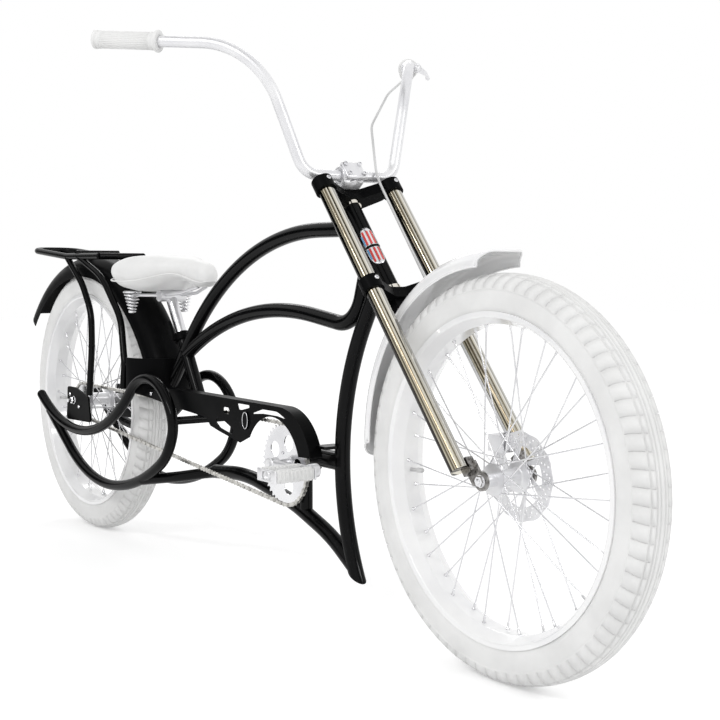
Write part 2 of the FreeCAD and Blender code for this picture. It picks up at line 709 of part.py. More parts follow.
def make_wheel(end, centre, hub_half, hub_r, flange_r, flange_at):
    """Tyre, rim, hub and crossed spokes of one wheel."""
    r, w = size("tyre_r"), size("tyre_w") / 2.0
    rim, half, deep = size("rim_r"), size("rim_w") / 2.0, size("rim_deep")
    bed = rim - 6.0
    bead = half - 5.0
    tyre = [(bed, -bead, 0), (rim, -bead, 0), (rim + 14, -w, 12), (r - 14, -w + 3, 12),
            (r, -17, 18), (r, 17, 18), (r - 14, w - 3, 12), (rim + 14, w, 12), (rim, bead, 0),
            (bed, bead, 0)]
    keep(end + "_tyre", lathe(end + "_tyre", tyre, centre))
    hoop = [(rim, -half, 0), (rim - 10, -half, 4), (rim - deep, -16, 4), (rim - deep, 16, 4),
            (rim - 10, half, 4), (rim, half, 0), (rim, half - 5, 0), (bed, half - 5, 0),
            (bed, -half + 5, 0), (rim, -half + 5, 0)]
    keep(end + "_rim", lathe(end + "_rim", hoop, centre))
    body = [(size("axle_r") + 0.05, -hub_half, 0), (12, -hub_half, 0), (12, -flange_at - 3, 0),
            (flange_r, -flange_at - 3, 0), (flange_r, -flange_at, 0), (hub_r, -flange_at + 3, 4),
            (hub_r, flange_at - 3, 4), (flange_r, flange_at, 0), (flange_r, flange_at + 3, 0),
            (22, flange_at + 3, 0), (22, flange_at + 6, 0), (12, flange_at + 6, 0),
            (12, hub_half, 0), (size("axle_r") + 0.05, hub_half, 0)]
    keep(end + "_hub", lathe(end + "_hub", body, centre))
    count = int(size("spokes"))
    wires = []
    for i in range(count):
        side = 1.0 if i % 2 else -1.0
        lean = 1.0 if (i // 2) % 2 else -1.0
        a = 2.0 * math.pi * i / count
        b = a + lean * math.radians(48.0)
        root = centre + V((flange_r + 0.2) * math.cos(b), side * (flange_at + 1.5),
                          (flange_r + 0.2) * math.sin(b))
        tip = centre + V((rim - deep - 0.2) * math.cos(a), side * 7.0,
                         (rim - deep - 0.2) * math.sin(a))
        wires.append(cylinder("%s_spoke_%d" % (end, i), root, tip - root, "Dims.spoke_r",
                              str(round((tip - root).Length, 3))))
    keep(end + "_spokes", group(end + "_spokes", wires))


def make_wheels():
    """Both wheels with their axles, the front brake disc and the rear sprocket."""
    rear = at(0, 0, size("tyre_r"))
    front = at(size("wheelbase"), 0, size("tyre_r"))
    make_wheel("rear", rear, size("rear_drop") - 0.5, 17.0, 30.0, 29.0)
    make_wheel("front", front, size("front_drop") - 0.5, 15.0, 28.0, 27.0)
    for end, centre, reach, nut in (("rear", rear, 92.0, 8.0), ("front", front, 63.5, 6.0)):
        bar = cylinder(end + "_bar", centre - LEFT * reach, LEFT, "Dims.axle_r", str(2 * reach))
        nuts = []
        drop = size(end + "_drop") + 5.0
        for sign in (-1.0, 1.0):
            base = centre + LEFT * (sign * drop)
            nuts.append(cylinder("%s_nut_%d" % (end, sign), base, LEFT * sign, "9.5", str(nut)))
        keep(end + "_axle", fuse(end + "_axle", [bar] + nuts))
    disc = [(12, 33.0, 0), (80, 33.0, 0), (80, 35.2, 0), (12, 35.2, 0)]
    keep("brake_disc", lathe("brake_disc", disc, front))
    cog = toothed("rear_sprocket", size("cog_teeth"), 2.4, "12.02", 0)
    cog.Placement.Base = rear + LEFT * (size("chain_y") - 1.2)
    keep("rear_sprocket", cog)


def make_crank():
    """Chainring, crank arms on their axle, and both pedals."""
    centre = at(size("crank_x"), 0, size("crank_z"))
    ring = toothed("chainring", size("ring_teeth"), 2.4, "Dims.crank_r + 0.02", 5)
    ring.Placement.Base = centre + LEFT * (size("chain_y") - 1.2)
    keep("chainring", ring)
    pieces = [cylinder("crank_axle", centre - LEFT * 84.0, LEFT, "Dims.crank_r", "168")]
    for name, sign in (("right", -1.0), ("left", 1.0)):
        pedal = centre + V(-sign * size("crank_arm"), sign * 92.0, -sign * 12.0)
        inner = centre + LEFT * (sign * 78.0)
        along = (pedal - inner)
        pieces.append(cylinder("arm_" + name, inner, along, "9.5", str(round(along.Length, 3))))
        pieces.append(cylinder("boss_" + name, centre + LEFT * (sign * 68.0), LEFT * sign, "17",
                               "20"))
        pieces.append(cylinder("eye_" + name, pedal - LEFT * (sign * 12.0), LEFT * sign, "14",
                               "20"))
        pieces.append(cylinder("stub_" + name, pedal, LEFT * sign, "6", "100"))
        body = block("pedal_%s_block" % name,
                     pedal + V(-34, 12.0 if sign > 0 else -106.0, -13), "68", "94", "26")
        bore = cylinder("pedal_%s_bore" % name, pedal, LEFT * sign, "6.06", "120")
        keep("pedal_" + name, cut("pedal_" + name, body, bore))
    keep("crank", fuse("crank", pieces))


def front_fender_centre():
    """Centre of the front fender's arc, a little behind and above the front axle."""
    return at(size("wheelbase") - size("fender_back"), 0, size("tyre_r") + size("fender_up"))


def make_fork():
    """Double crown fork: two straight legs between crowns, with the steerer on the axis."""
    place = steering()
    lead, side = size("leg_lead"), size("leg_side")
    legs = []
    for name, sign in (("right", -1.0), ("left", 1.0)):
        base = on_axis(lead, sign * side, size("leg_low"))
        legs.append(cylinder("leg_" + name, base, axis_up(), "Dims.leg_r",
                             "Dims.leg_high - Dims.leg_low"))
    keep("fork_legs", group("fork_legs", legs))
    keep("steerer", cylinder("steerer", on_axis(0, 0, size("crown_low")), axis_up(),
                             "Dims.steerer_r", "Dims.crown_high + Dims.crown_thick - Dims.crown_low"))
    outline = [(-21, -15, 10), (-21, 15, 10), (22, 74, 14), (50, 66, 8), (22, 16, 20),
               (22, -16, 20), (50, -66, 8), (22, -74, 14)]
    tools = fuse("crown_tools", [legs[0], legs[1], DOC.getObject("steerer")])
    for name, low in (("upper_crown", "crown_high"), ("lower_crown", "crown_low")):
        base = place.multiply(FreeCAD.Placement(V(0, 0, size(low)), FreeCAD.Rotation()))
        web, sketch = sketched(name + "_web", outline, base)
        pad = web.newObject("PartDesign::Pad", name + "_pad")
        pad.Profile = sketch
        bind(pad, Length="Dims.crown_thick")
        rings = [web, cylinder(name + "_boss", on_axis(0, 0, size(low)), axis_up(), "21",
                               "Dims.crown_thick")]
        for sign in (-1.0, 1.0):
            rings.append(cylinder("%s_ring_%d" % (name, sign),
                                  on_axis(lead, sign * side, size(low) - 4.0), axis_up(),
                                  "Dims.leg_r + 5", "Dims.crown_thick + 4"))
        keep(name, cut(name, fuse(name + "_whole", rings), tools))
    ends = []
    axle = at(size("wheelbase"), 0, size("tyre_r"))
    for name, sign in (("right", -1.0), ("left", 1.0)):
        inner = sign * size("front_drop")
        sheet_y = inner if sign > 0 else inner - 5.0
        eye = cylinder("end_eye_" + name, V(axle.x, sheet_y, axle.z), LEFT, "17", "5")
        web = block("end_web_" + name, V(lead - 12.0, sheet_y, size("leg_low") - 26.0), "30", "5",
                    "34", place)
        reach = 16.0
        foot_y = sheet_y if sign > 0 else sheet_y + 5.0 - reach
        bridge = block("end_bridge_" + name, V(lead - 10.0, foot_y, size("leg_low") - 8.0), "24",
                       str(reach), "26", place)
        whole = fuse("end_whole_" + name, [eye, web, bridge])
        hole = cylinder("end_hole_" + name, V(axle.x, sheet_y - 40, axle.z), LEFT,
                        "Dims.axle_r + 0.05", "85")
        ends.append(cut("end_" + name, cut("end_bored_" + name, whole, hole), tools))
    keep("fork_ends", group("fork_ends", ends))
    arm = block("fender_arm", V(-8, -15, size("crown_low") - 70.0), "22", "30", "70", place)
    under = cylinder("fender_seat", front_fender_centre() - LEFT * 20.0, LEFT,
                     "Dims.tyre_r + Dims.fender_gap", "40")
    keep("fender_bracket", cut("fender_bracket", arm, under))


# the hose hangs before the stem, then runs down between the legs to the caliper
HOSE_ROUTE = [(1032, 212, 1082), (1092, 124, 1003), (1212, 50, 890), (1381, 46.5, 679),
              (1414, 55, 640)]
HOSE_BENDS = [60.0, 100.0, 140.0, 100.0, 100.0]


def make_bars():
    """Tall handlebar in its clamp, with grips, brake lever, hose and caliper."""
    def bar_points(sign):
        return [at(1189, sign * 106, 889), at(1144, sign * 184, 1134), at(871, sign * 388, 1160)]
    right, left = bar_points(-1.0), bar_points(1.0)
    edges = corner_edges([right[2], right[1], right[0], left[0], left[1], left[2]],
                         [170.0, 42.0, 42.0, 170.0])
    bar = tube("handlebar", edges, "Dims.bar_r")
    keep("handlebar", bar)
    clamp = block("clamp_block", V(14, -25, size("crown_high") + size("crown_thick")), "44", "50",
                  "44", steering())
    keep("bar_clamp", cut("bar_clamp", clamp, bar))
    grips = []
    for name, points in (("right", right), ("left", left)):
        back = (points[1] - points[2]).normalize()
        outer = points[2] - back * 4.0
        shell = fuse("grip_shell_" + name, [
            cylinder("grip_sleeve_" + name, outer, back, "Dims.grip_r", "136"),
            cylinder("grip_flange_" + name, outer + back * 136.0, back, "Dims.grip_r + 5", "6")])
        grips.append(cut("grip_" + name, shell, bar))
    keep("grips", group("grips", grips))
    back = (left[1] - left[2]).normalize()
    forward = V(1, 0, -0.12)
    mount = left[2] + back * 158.0
    ring = cylinder("lever_ring", mount - back * 9.0, back, "Dims.bar_r + 5", "18")
    pod = cylinder("lever_pod", mount, forward, "9", "40")
    pivot = mount + forward.normalize() * 38.0
    tip = left[2] + V(62, 12, -18)
    blade = cylinder("lever_blade", pivot, tip - pivot, "5", str(round((tip - pivot).Length, 2)))
    whole = fuse("lever_whole", [ring, pod, blade])
    keep("brake_lever", cut("brake_lever", whole, bar))
    axle = at(size("wheelbase"), 0, size("tyre_r"))
    lead, side = size("leg_lead"), size("leg_side")
    leg = DOC.getObject("leg_left")
    foot = axle + V(-80, 28.6, 36)
    body = block("caliper_body", foot, "40", "35", "30")
    slot = cylinder("caliper_slot", V(axle.x, 31.3, axle.z), LEFT, "84", "5.6")
    arm = block("caliper_arm", foot + V(8, 31, 4), "16", "20", "16")
    cheek = cut("caliper_cheeks", fuse("caliper_whole", [body, arm]), slot)
    keep("brake_caliper", cut("brake_caliper", cheek, leg))
    route = [mount + forward.normalize() * 24.0 - V(0, 0, 4)]
    route += [at(x, y, z) for x, y, z in HOSE_ROUTE] + [foot + V(20, 26, 29.5)]
    hose = tube("hose_run", corner_edges(route, HOSE_BENDS), "2.5")
    ends = fuse("hose_ends", [DOC.getObject("brake_lever"), DOC.getObject("brake_caliper")])
    keep("brake_hose", cut("brake_hose", hose, ends))


def report_and_write():
    """Stop on any failed object, then write each sub-part's file."""
    DOC.recompute()
    failed = [item.Label for item in DOC.Objects
              if "Invalid" in item.State or "Error" in item.State]
    for item in DOC.Objects:
        if item.Label in failed:
            print(item.Label, item.State, item.getStatusString())
    for name, item in PARTS.items():
        shape = item.Shape
        if shape.isNull() or not shape.isValid() or not shape.Solids:
            failed.append(name)
    if failed:
        raise RuntimeError("failed: " + ", ".join(sorted(set(failed))))
    os.makedirs("parts", exist_ok=True)
    for name, item in PARTS.items():
        item.Shape.exportStep(os.path.join("parts", name + ".step"))
        box = item.Shape.BoundBox
        print("%-16s solids %2d  volume %10.0f  x %.0f..%.0f  y %.0f..%.0f  z %.0f..%.0f" % (
            name, len(item.Shape.Solids), item.Shape.Volume, box.XMin, box.XMax, box.YMin,
            box.YMax, box.ZMin, box.ZMax))


def main():
    """Build the bicycle from its frame outwards."""
    head = make_head()
    make_hoops()
    down_bar = make_main_tubes(head)
    keel = make_keel(down_bar)
    make_bottom_bracket(keel, down_bar)
    make_seat_tube()
    make_bridge()
    make_dropouts()
    make_guard()
    make_badge()
    rear_axle = at(0, 0, size("tyre_r"))
    shell = make_fender("rear_shell", at(1, 0, 244), 494.0, 54.0, 28.3, "109.7")
    boss = cylinder("rear_fender_boss", at(424, 0, 483), V(1, 0, 0), "4", "18")
    keep("rear_fender", cut("rear_fender", fuse("rear_fender_whole", [shell, boss]),
                            DOC.getObject("rear_bridge")))
    crown = size("tyre_r") + size("fender_gap")
    keep("front_fender", make_fender("front_fender", front_fender_centre(), crown, 27.0, 88.5,
                                     "97.5"))
    make_rack()
    make_saddle()
    make_chain()
    make_wheels()
    make_crank()
    make_fork()
    make_bars()
    report_and_write()


main()
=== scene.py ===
"""Dress the chopper bicycle: a finish for every part, and its soft, small and repeated pieces.

Lengths are metres in the part's frame: +X forward, +Y to the rider's left, +Z up, with the
origin in the middle of the saddle's top.
"""

from __future__ import annotations

import json
import logging
import math
from dataclasses import dataclass
from enum import Enum

import bmesh
import bpy
from bpy.types import Material, Mesh, Node, NodeSocket, NodeTree, Object
from mathutils import Matrix, Quaternion, Vector

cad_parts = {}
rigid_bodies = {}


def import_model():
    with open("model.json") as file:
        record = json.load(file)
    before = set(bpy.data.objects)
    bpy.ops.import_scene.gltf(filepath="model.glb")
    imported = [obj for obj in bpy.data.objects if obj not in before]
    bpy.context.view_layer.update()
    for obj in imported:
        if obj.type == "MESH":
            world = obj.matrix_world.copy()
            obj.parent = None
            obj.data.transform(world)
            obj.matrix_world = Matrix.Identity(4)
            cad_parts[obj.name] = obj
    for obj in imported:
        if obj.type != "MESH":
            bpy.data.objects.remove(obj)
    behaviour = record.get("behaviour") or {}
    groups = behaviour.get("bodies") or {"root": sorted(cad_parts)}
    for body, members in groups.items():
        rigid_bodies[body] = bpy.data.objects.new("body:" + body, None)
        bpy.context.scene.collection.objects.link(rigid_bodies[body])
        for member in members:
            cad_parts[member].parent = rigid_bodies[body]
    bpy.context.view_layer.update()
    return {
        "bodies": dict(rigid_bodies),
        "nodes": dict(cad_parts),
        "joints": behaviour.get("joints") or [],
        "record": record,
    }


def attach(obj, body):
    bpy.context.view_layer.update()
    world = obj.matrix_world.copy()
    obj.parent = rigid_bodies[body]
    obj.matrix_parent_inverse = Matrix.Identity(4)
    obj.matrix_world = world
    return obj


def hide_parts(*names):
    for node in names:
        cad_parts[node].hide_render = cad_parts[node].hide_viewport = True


LOG = logging.getLogger("chopper_bicycle")

Colour = tuple[float, float, float]
Point = tuple[float, float, float]
Face = tuple[int, ...]
Outline = list[tuple[float, float]]
Profile = Outline

# rear axle to the origin, and the ground's height
AXLE_BACK = 0.420
GROUND_Z = -0.738
REAR_AXLE = Vector((-AXLE_BACK, 0.0, -0.387))
FRONT_AXLE = Vector((1.236, 0.0, -0.387))
CRANK_AXIS = Vector((0.605, 0.0, -0.437))
HEAD_ANGLE = math.radians(50.64)
AXIS_FOOT = Vector((1.454, 0.0, GROUND_Z))
AXIS_UP = Vector((-math.cos(HEAD_ANGLE), 0.0, math.sin(HEAD_ANGLE)))
AXIS_AHEAD = Vector((math.sin(HEAD_ANGLE), 0.0, math.cos(HEAD_ANGLE)))
AHEAD = Vector((1.0, 0.0, 0.0))
LEFT = Vector((0.0, 1.0, 0.0))
UP = Vector((0.0, 0.0, 1.0))
STILL = Matrix.Identity(4)
SQUARE = ((-1.0, -1.0), (1.0, -1.0), (1.0, 1.0), (-1.0, 1.0))

# points closer than this are one point
SAME_POINT = 1e-6

# outer end of the left grip, its direction towards the stem, and the lever's clamp along it
GRIP_END = Vector((0.451, 0.388, 0.422))
GRIP_WAY = Vector((0.273, -0.204, -0.026)).normalized()
LEVER_ALONG = 0.158
LEVER_TIP = Vector((0.062, 0.012, -0.018))
PEDALS = {"right": Vector((0.775, -0.151, -0.425)), "left": Vector((0.435, 0.151, -0.449))}

# outer face of the chain guard, and the bolts through it
GUARD_FACE = -0.0630
GUARD_BOLTS = [(0.025, -0.3345)]

# painted reflections on the fork legs: share of the turn round a leg, from its rear over the far
# side and the front, and the colour of the reflection painted there, light and dark in turn
LEG_PAINTED_REFLECTIONS = [
    (0.0, (0.64, 0.59, 0.48)), (0.035, (0.24, 0.2, 0.14)), (0.08, (0.78, 0.74, 0.65)),
    (0.13, (0.18, 0.15, 0.11)), (0.18, (0.82, 0.79, 0.71)), (0.24, (0.46, 0.43, 0.35)),
    (0.3, (0.8, 0.78, 0.72)), (0.36, (0.03, 0.027, 0.022)), (0.4, (0.12, 0.11, 0.09)),
    (0.435, (0.78, 0.77, 0.73)), (0.47, (0.42, 0.4, 0.35)), (0.5, (0.88, 0.87, 0.84)),
    (0.545, (0.7, 0.66, 0.55)), (0.56, (0.12, 0.1, 0.07)), (0.575, (0.6, 0.54, 0.4)),
    (0.6, (0.82, 0.79, 0.69)), (0.625, (0.22, 0.18, 0.12)), (0.645, (0.08, 0.065, 0.045)),
    (0.665, (0.66, 0.6, 0.46)), (0.685, (0.05, 0.04, 0.03)), (0.71, (0.42, 0.38, 0.27)),
    (0.728, (0.7, 0.66, 0.55)), (0.742, (0.06, 0.05, 0.04)), (0.78, (0.015, 0.014, 0.012)),
    (0.885, (0.015, 0.014, 0.012)), (0.905, (0.6, 0.55, 0.43)), (0.935, (0.16, 0.13, 0.09)),
    (0.96, (0.76, 0.72, 0.62)),
]


class Grain(Enum):
    """The fine relief that a finish has."""

    SMOOTH = "smooth"
    DRAWN = "drawn"
    PEBBLED = "pebbled"


def on_axis(lead: float, side: float, along: float) -> Vector:
    """Point ahead of the steering axis, to its left and up along it."""
    return AXIS_FOOT + AXIS_AHEAD * lead + LEFT * side + AXIS_UP * along


def feed(tree: NodeTree, item: Node, feeds: dict[str | int, object]) -> None:
    """Give inputs of a node their sources and values.

    Args:
        tree: The node's tree.
        item: The node.
        feeds: What each input takes, by its name or number: a socket or a value.
    """
    for name, value in feeds.items():
        if isinstance(value, NodeSocket):
            tree.links.new(value, item.inputs[name])
        else:
            item.inputs[name].default_value = value


def node(tree: NodeTree, kind: str, feeds: dict[str | int, object] | None = None,
         **settings: object) -> Node:
    """Add a node to a tree.

    Args:
        tree: The tree.
        kind: Type name of the node.
        feeds: What each input takes, by its name or number: a socket or a value.
        settings: Properties of the node, which are set before its inputs.

    Returns:
        The node.
    """
    item = tree.nodes.new(kind)
    for name, value in settings.items():
        setattr(item, name, value)
    feed(tree, item, feeds or {})
    return item


def spoke_way(angle: float) -> Vector:
    """Direction in the middle plane at an angle from straight ahead, in radians."""
    return Vector((math.cos(angle), 0.0, math.sin(angle)))


def to_side(place: Vector, sign: float) -> Vector:
    """The place itself for a sign of 1, and its mirror image on the other side for -1."""
    return Vector((place.x, sign * place.y, place.z))


def seen_directly(tree: NodeTree) -> NodeSocket:
    """Value of 1 for rays from the camera, in mirrors and through glass, else 0."""
    rays = node(tree, "ShaderNodeLightPath")
    total = rays.outputs["Is Camera Ray"]
    for name in ("Is Glossy Ray", "Is Transmission Ray"):
        total = node(tree, "ShaderNodeMath", {0: total, 1: rays.outputs[name]},
                     operation="MAXIMUM").outputs[0]
    return total


def new_group(kind: str, name: str, inputs: list[tuple[str, str, object]],
              outputs: list[tuple[str, str]]
              ) -> tuple[NodeTree, bpy.types.NodeOutputs, Node, dict[str, str]]:
    """Make a node group with its input and output nodes.

    Args:
        kind: Type name of the tree.
        name: Name of the group.
        inputs: Name, socket type and default of each input.
        outputs: Name and socket type of each output.

    Returns:
        The tree, the inputs as its nodes see them, the output node, and the identifier of
        each input's socket.
    """
    tree = bpy.data.node_groups.new(name, kind)
    sockets = {}
    for label, socket_kind, value in inputs:
        socket = tree.interface.new_socket(label, in_out="INPUT",
                                           socket_type="NodeSocket" + socket_kind)
        if value is not None:
            socket.default_value = value
        sockets[label] = socket.identifier
    for label, socket_kind in outputs:
        tree.interface.new_socket(label, in_out="OUTPUT",
                                  socket_type="NodeSocket" + socket_kind)
    given = tree.nodes.new("NodeGroupInput").outputs
    return tree, given, tree.nodes.new("NodeGroupOutput"), sockets


class ShaderGroups:
    """The node groups that several materials share."""

    def __init__(self) -> None:
        """Build each group once."""
        self.variation = self._variation()
        self.relief = self._relief()
        self.dust = self._dust()
        self.streaks = self._painted_reflections()

    @staticmethod
    def _variation() -> NodeTree:
        """Cloudy change of colour and roughness over a surface."""
        tree, given, result, _ = new_group(
            "ShaderNodeTree", "surface_variation",
            [("Colour", "Color", (0.5, 0.5, 0.5, 1.0)),
             ("Deep Colour", "Color", (0.4, 0.4, 0.4, 1.0)),
             ("Scale", "Float", 30.0), ("Roughness", "Float", 0.5),
             ("Spread", "Float", 0.05)],
            [("Colour", "Color"), ("Roughness", "Float")])
        place = node(tree, "ShaderNodeTexCoord")
        cloud = node(tree, "ShaderNodeTexNoise",
                     {"Detail": 5.0, "Vector": place.outputs["Object"], "Scale": given["Scale"]})
        ramp = node(tree, "ShaderNodeMapRange",
                    {"From Min": 0.35, "From Max": 0.65, "Value": cloud.outputs["Fac"]})
        mix = node(tree, "ShaderNodeMix",
                   {"Factor": ramp.outputs["Result"], "A": given["Deep Colour"],
                    "B": given["Colour"]}, data_type="RGBA")
        centred = node(tree, "ShaderNodeMath", {0: ramp.outputs["Result"], 1: 0.5},
                       operation="SUBTRACT")
        shift = node(tree, "ShaderNodeMath",
                     {0: centred.outputs[0], 1: given["Spread"], 2: given["Roughness"]},
                     operation="MULTIPLY_ADD")
        feed(tree, result, {"Colour": mix.outputs["Result"], "Roughness": shift.outputs[0]})
        return tree

    @staticmethod
    def _relief() -> NodeTree:
        """Fine height of drawn metal lines, pebbled rubber or orange peel in paint."""
        tree, given, result, _ = new_group(
            "ShaderNodeTree", "fine_relief",
            [("Scale", "Float", 200.0), ("Stretch", "Vector", (1.0, 1.0, 1.0)),
             ("Pebbles", "Float", 0.0)], [("Height", "Float")])
        place = node(tree, "ShaderNodeTexCoord")
        stretch = node(tree, "ShaderNodeVectorMath",
                       {0: place.outputs["Object"], 1: given["Stretch"]}, operation="MULTIPLY")
        shared = {"Vector": stretch.outputs[0], "Scale": given["Scale"]}
        grain = node(tree, "ShaderNodeTexNoise", {"Detail": 4.0, **shared})
        cells = node(tree, "ShaderNodeTexVoronoi", shared)
        mix = node(tree, "ShaderNodeMix", {"Factor": given["Pebbles"], "A": grain.outputs["Fac"],
                                           "B": cells.outputs["Distance"]})
        feed(tree, result, {"Height": mix.outputs["Result"]})
        return tree

    @staticmethod
    def _dust() -> NodeTree:
        """Thin dust on faces that look upwards, broken up by a soft noise."""
        tree, given, result, _ = new_group(
            "ShaderNodeTree", "settled_dust",
            [("Colour", "Color", (0.5, 0.5, 0.5, 1.0)),
             ("Dust Colour", "Color", (0.6, 0.58, 0.54, 1.0)),
             ("Amount", "Float", 0.1)], [("Colour", "Color")])
        shape = node(tree, "ShaderNodeNewGeometry")
        axes = node(tree, "ShaderNodeSeparateXYZ", {0: shape.outputs["Normal"]})
        place = node(tree, "ShaderNodeTexCoord")
        cloud = node(tree, "ShaderNodeTexNoise",
                     {"Scale": 60.0, "Vector": place.outputs["Object"]})
        upward = node(tree, "ShaderNodeMath", {0: axes.outputs["Z"], 1: cloud.outputs["Fac"]},
                      operation="MULTIPLY", use_clamp=True)
        amount = node(tree, "ShaderNodeMath", {0: upward.outputs[0], 1: given["Amount"]},
                      operation="MULTIPLY", use_clamp=True)
        mix = node(tree, "ShaderNodeMix",
                   {"Factor": amount.outputs[0], "A": given["Colour"],
                    "B": given["Dust Colour"]}, data_type="RGBA")
        feed(tree, result, {"Colour": mix.outputs["Result"]})
        return tree

    @staticmethod
    def _painted_reflections() -> NodeTree:
        """Painted reflections: long light and dark streaks round a tube that stands along the
        steering axis, set by which way its surface faces.
        """
        tree, given, result, _ = new_group(
            "ShaderNodeTree", "leg_painted_reflections", [("Fine Lines", "Float", 70.0)],
            [("Colour", "Color")])
        place = node(tree, "ShaderNodeTexCoord")
        across, ahead = [node(tree, "ShaderNodeVectorMath",
                              {0: place.outputs["Normal"], 1: way},
                              operation="DOT_PRODUCT").outputs["Value"]
                         for way in (-LEFT, AXIS_AHEAD)]
        angle = node(tree, "ShaderNodeMath", {0: across, 1: ahead}, operation="ARCTAN2")
        turn = node(tree, "ShaderNodeMapRange",
                    {"From Min": -math.pi, "From Max": math.pi, "Value": angle.outputs[0]})
        bands = node(tree, "ShaderNodeValToRGB", {"Fac": turn.outputs["Result"]})
        stops = bands.color_ramp.elements
        while len(stops) < len(LEG_PAINTED_REFLECTIONS):
            stops.new(0.5)
        for stop, (share, colour) in zip(stops, LEG_PAINTED_REFLECTIONS):
            stop.position = share
            stop.color = (*colour, 1.0)
        lines = node(tree, "ShaderNodeTexNoise",
                     {"W": turn.outputs["Result"], "Scale": given["Fine Lines"]},
                     noise_dimensions="1D")
        level = node(tree, "ShaderNodeMapRange",
                     {"To Min": 0.45, "To Max": 1.30, "Value": lines.outputs["Fac"]})
        painted_reflection_colour = node(tree, "ShaderNodeVectorMath",
                    {0: bands.outputs["Color"], "Scale": level.outputs["Result"]},
                    operation="SCALE")
        feed(tree, result, {"Colour": painted_reflection_colour.outputs["Vector"]})
        return tree


@dataclass(frozen=True)
class Finish:
    """One finish: its colours, gloss and fine relief.

    Attributes:
        name: Name of the material.
        colour: Main colour.
        deep: Colour in the cloudy patches.
        roughness: Middle roughness.
        metallic: 1 for bare metal.
        coat: Weight of a clear coat.
        grain: Kind of fine relief.
        grain_scale: Cells of relief in a metre.
        stretch: Scale of the relief along X, Y and Z.
        bump: Strength of the relief.
        spread: Change of roughness over the surface.
        cloud_scale: Clouds of colour in a metre.
        dust: Amount of dust on faces that look up.
        specular: Level of the reflection under the coat.
    """

    name: str
    colour: Colour
    deep: Colour
    roughness: float
    metallic: float = 0.0
    coat: float = 0.0
    grain: Grain = Grain.SMOOTH
    grain_scale: float = 400.0
    stretch: Point = (1.0, 1.0, 1.0)
    bump: float = 0.02
    spread: float = 0.06
    cloud_scale: float = 14.0
    dust: float = 0.0
    specular: float = 0.5

    def build(self, groups: ShaderGroups) -> Material:
        """Make the material.

        Args:
            groups: The shared node groups.

        Returns:
            The material, with its own Principled BSDF.
        """
        material = bpy.data.materials.new(self.name)
        material.use_nodes = True
        tree = material.node_tree
        vary = node(tree, "ShaderNodeGroup",
                    {"Colour": (*self.colour, 1.0), "Deep Colour": (*self.deep, 1.0),
                     "Scale": self.cloud_scale, "Roughness": self.roughness,
                     "Spread": self.spread}, node_tree=groups.variation)
        dust = node(tree, "ShaderNodeGroup",
                    {"Amount": self.dust, "Colour": vary.outputs["Colour"]},
                    node_tree=groups.dust)
        relief = node(tree, "ShaderNodeGroup",
                      {"Scale": self.grain_scale, "Stretch": self.stretch,
                       "Pebbles": float(self.grain is Grain.PEBBLED)},
                      node_tree=groups.relief)
        bump = node(tree, "ShaderNodeBump", {"Strength": self.bump, "Distance": 0.001,
                                             "Height": relief.outputs["Height"]})
        feed(tree, tree.nodes["Principled BSDF"],
             {"Metallic": self.metallic, "Specular IOR Level": self.specular,
              "Coat Weight": self.coat, "Coat Roughness": 0.04,
              "Roughness": vary.outputs["Roughness"], "Base Color": dust.outputs["Colour"],
              "Normal": bump.outputs["Normal"]})
        return material


@dataclass(frozen=True)
class ChromeWithPaintedReflections(Finish):
    """Tinted chrome of the fork legs, whose colour is painted reflections: long light and dark
    streaks round each leg.
    """

    def build(self, groups: ShaderGroups) -> Material:
        """Make the material with the painted reflections as its colour.

        Args:
            groups: The shared node groups.

        Returns:
            The material.
        """
        material = super().build(groups)
        tree = material.node_tree
        streaks = node(tree, "ShaderNodeGroup", node_tree=groups.streaks)
        feed(tree, tree.nodes["Principled BSDF"], {"Base Color": streaks.outputs["Colour"]})
        return material


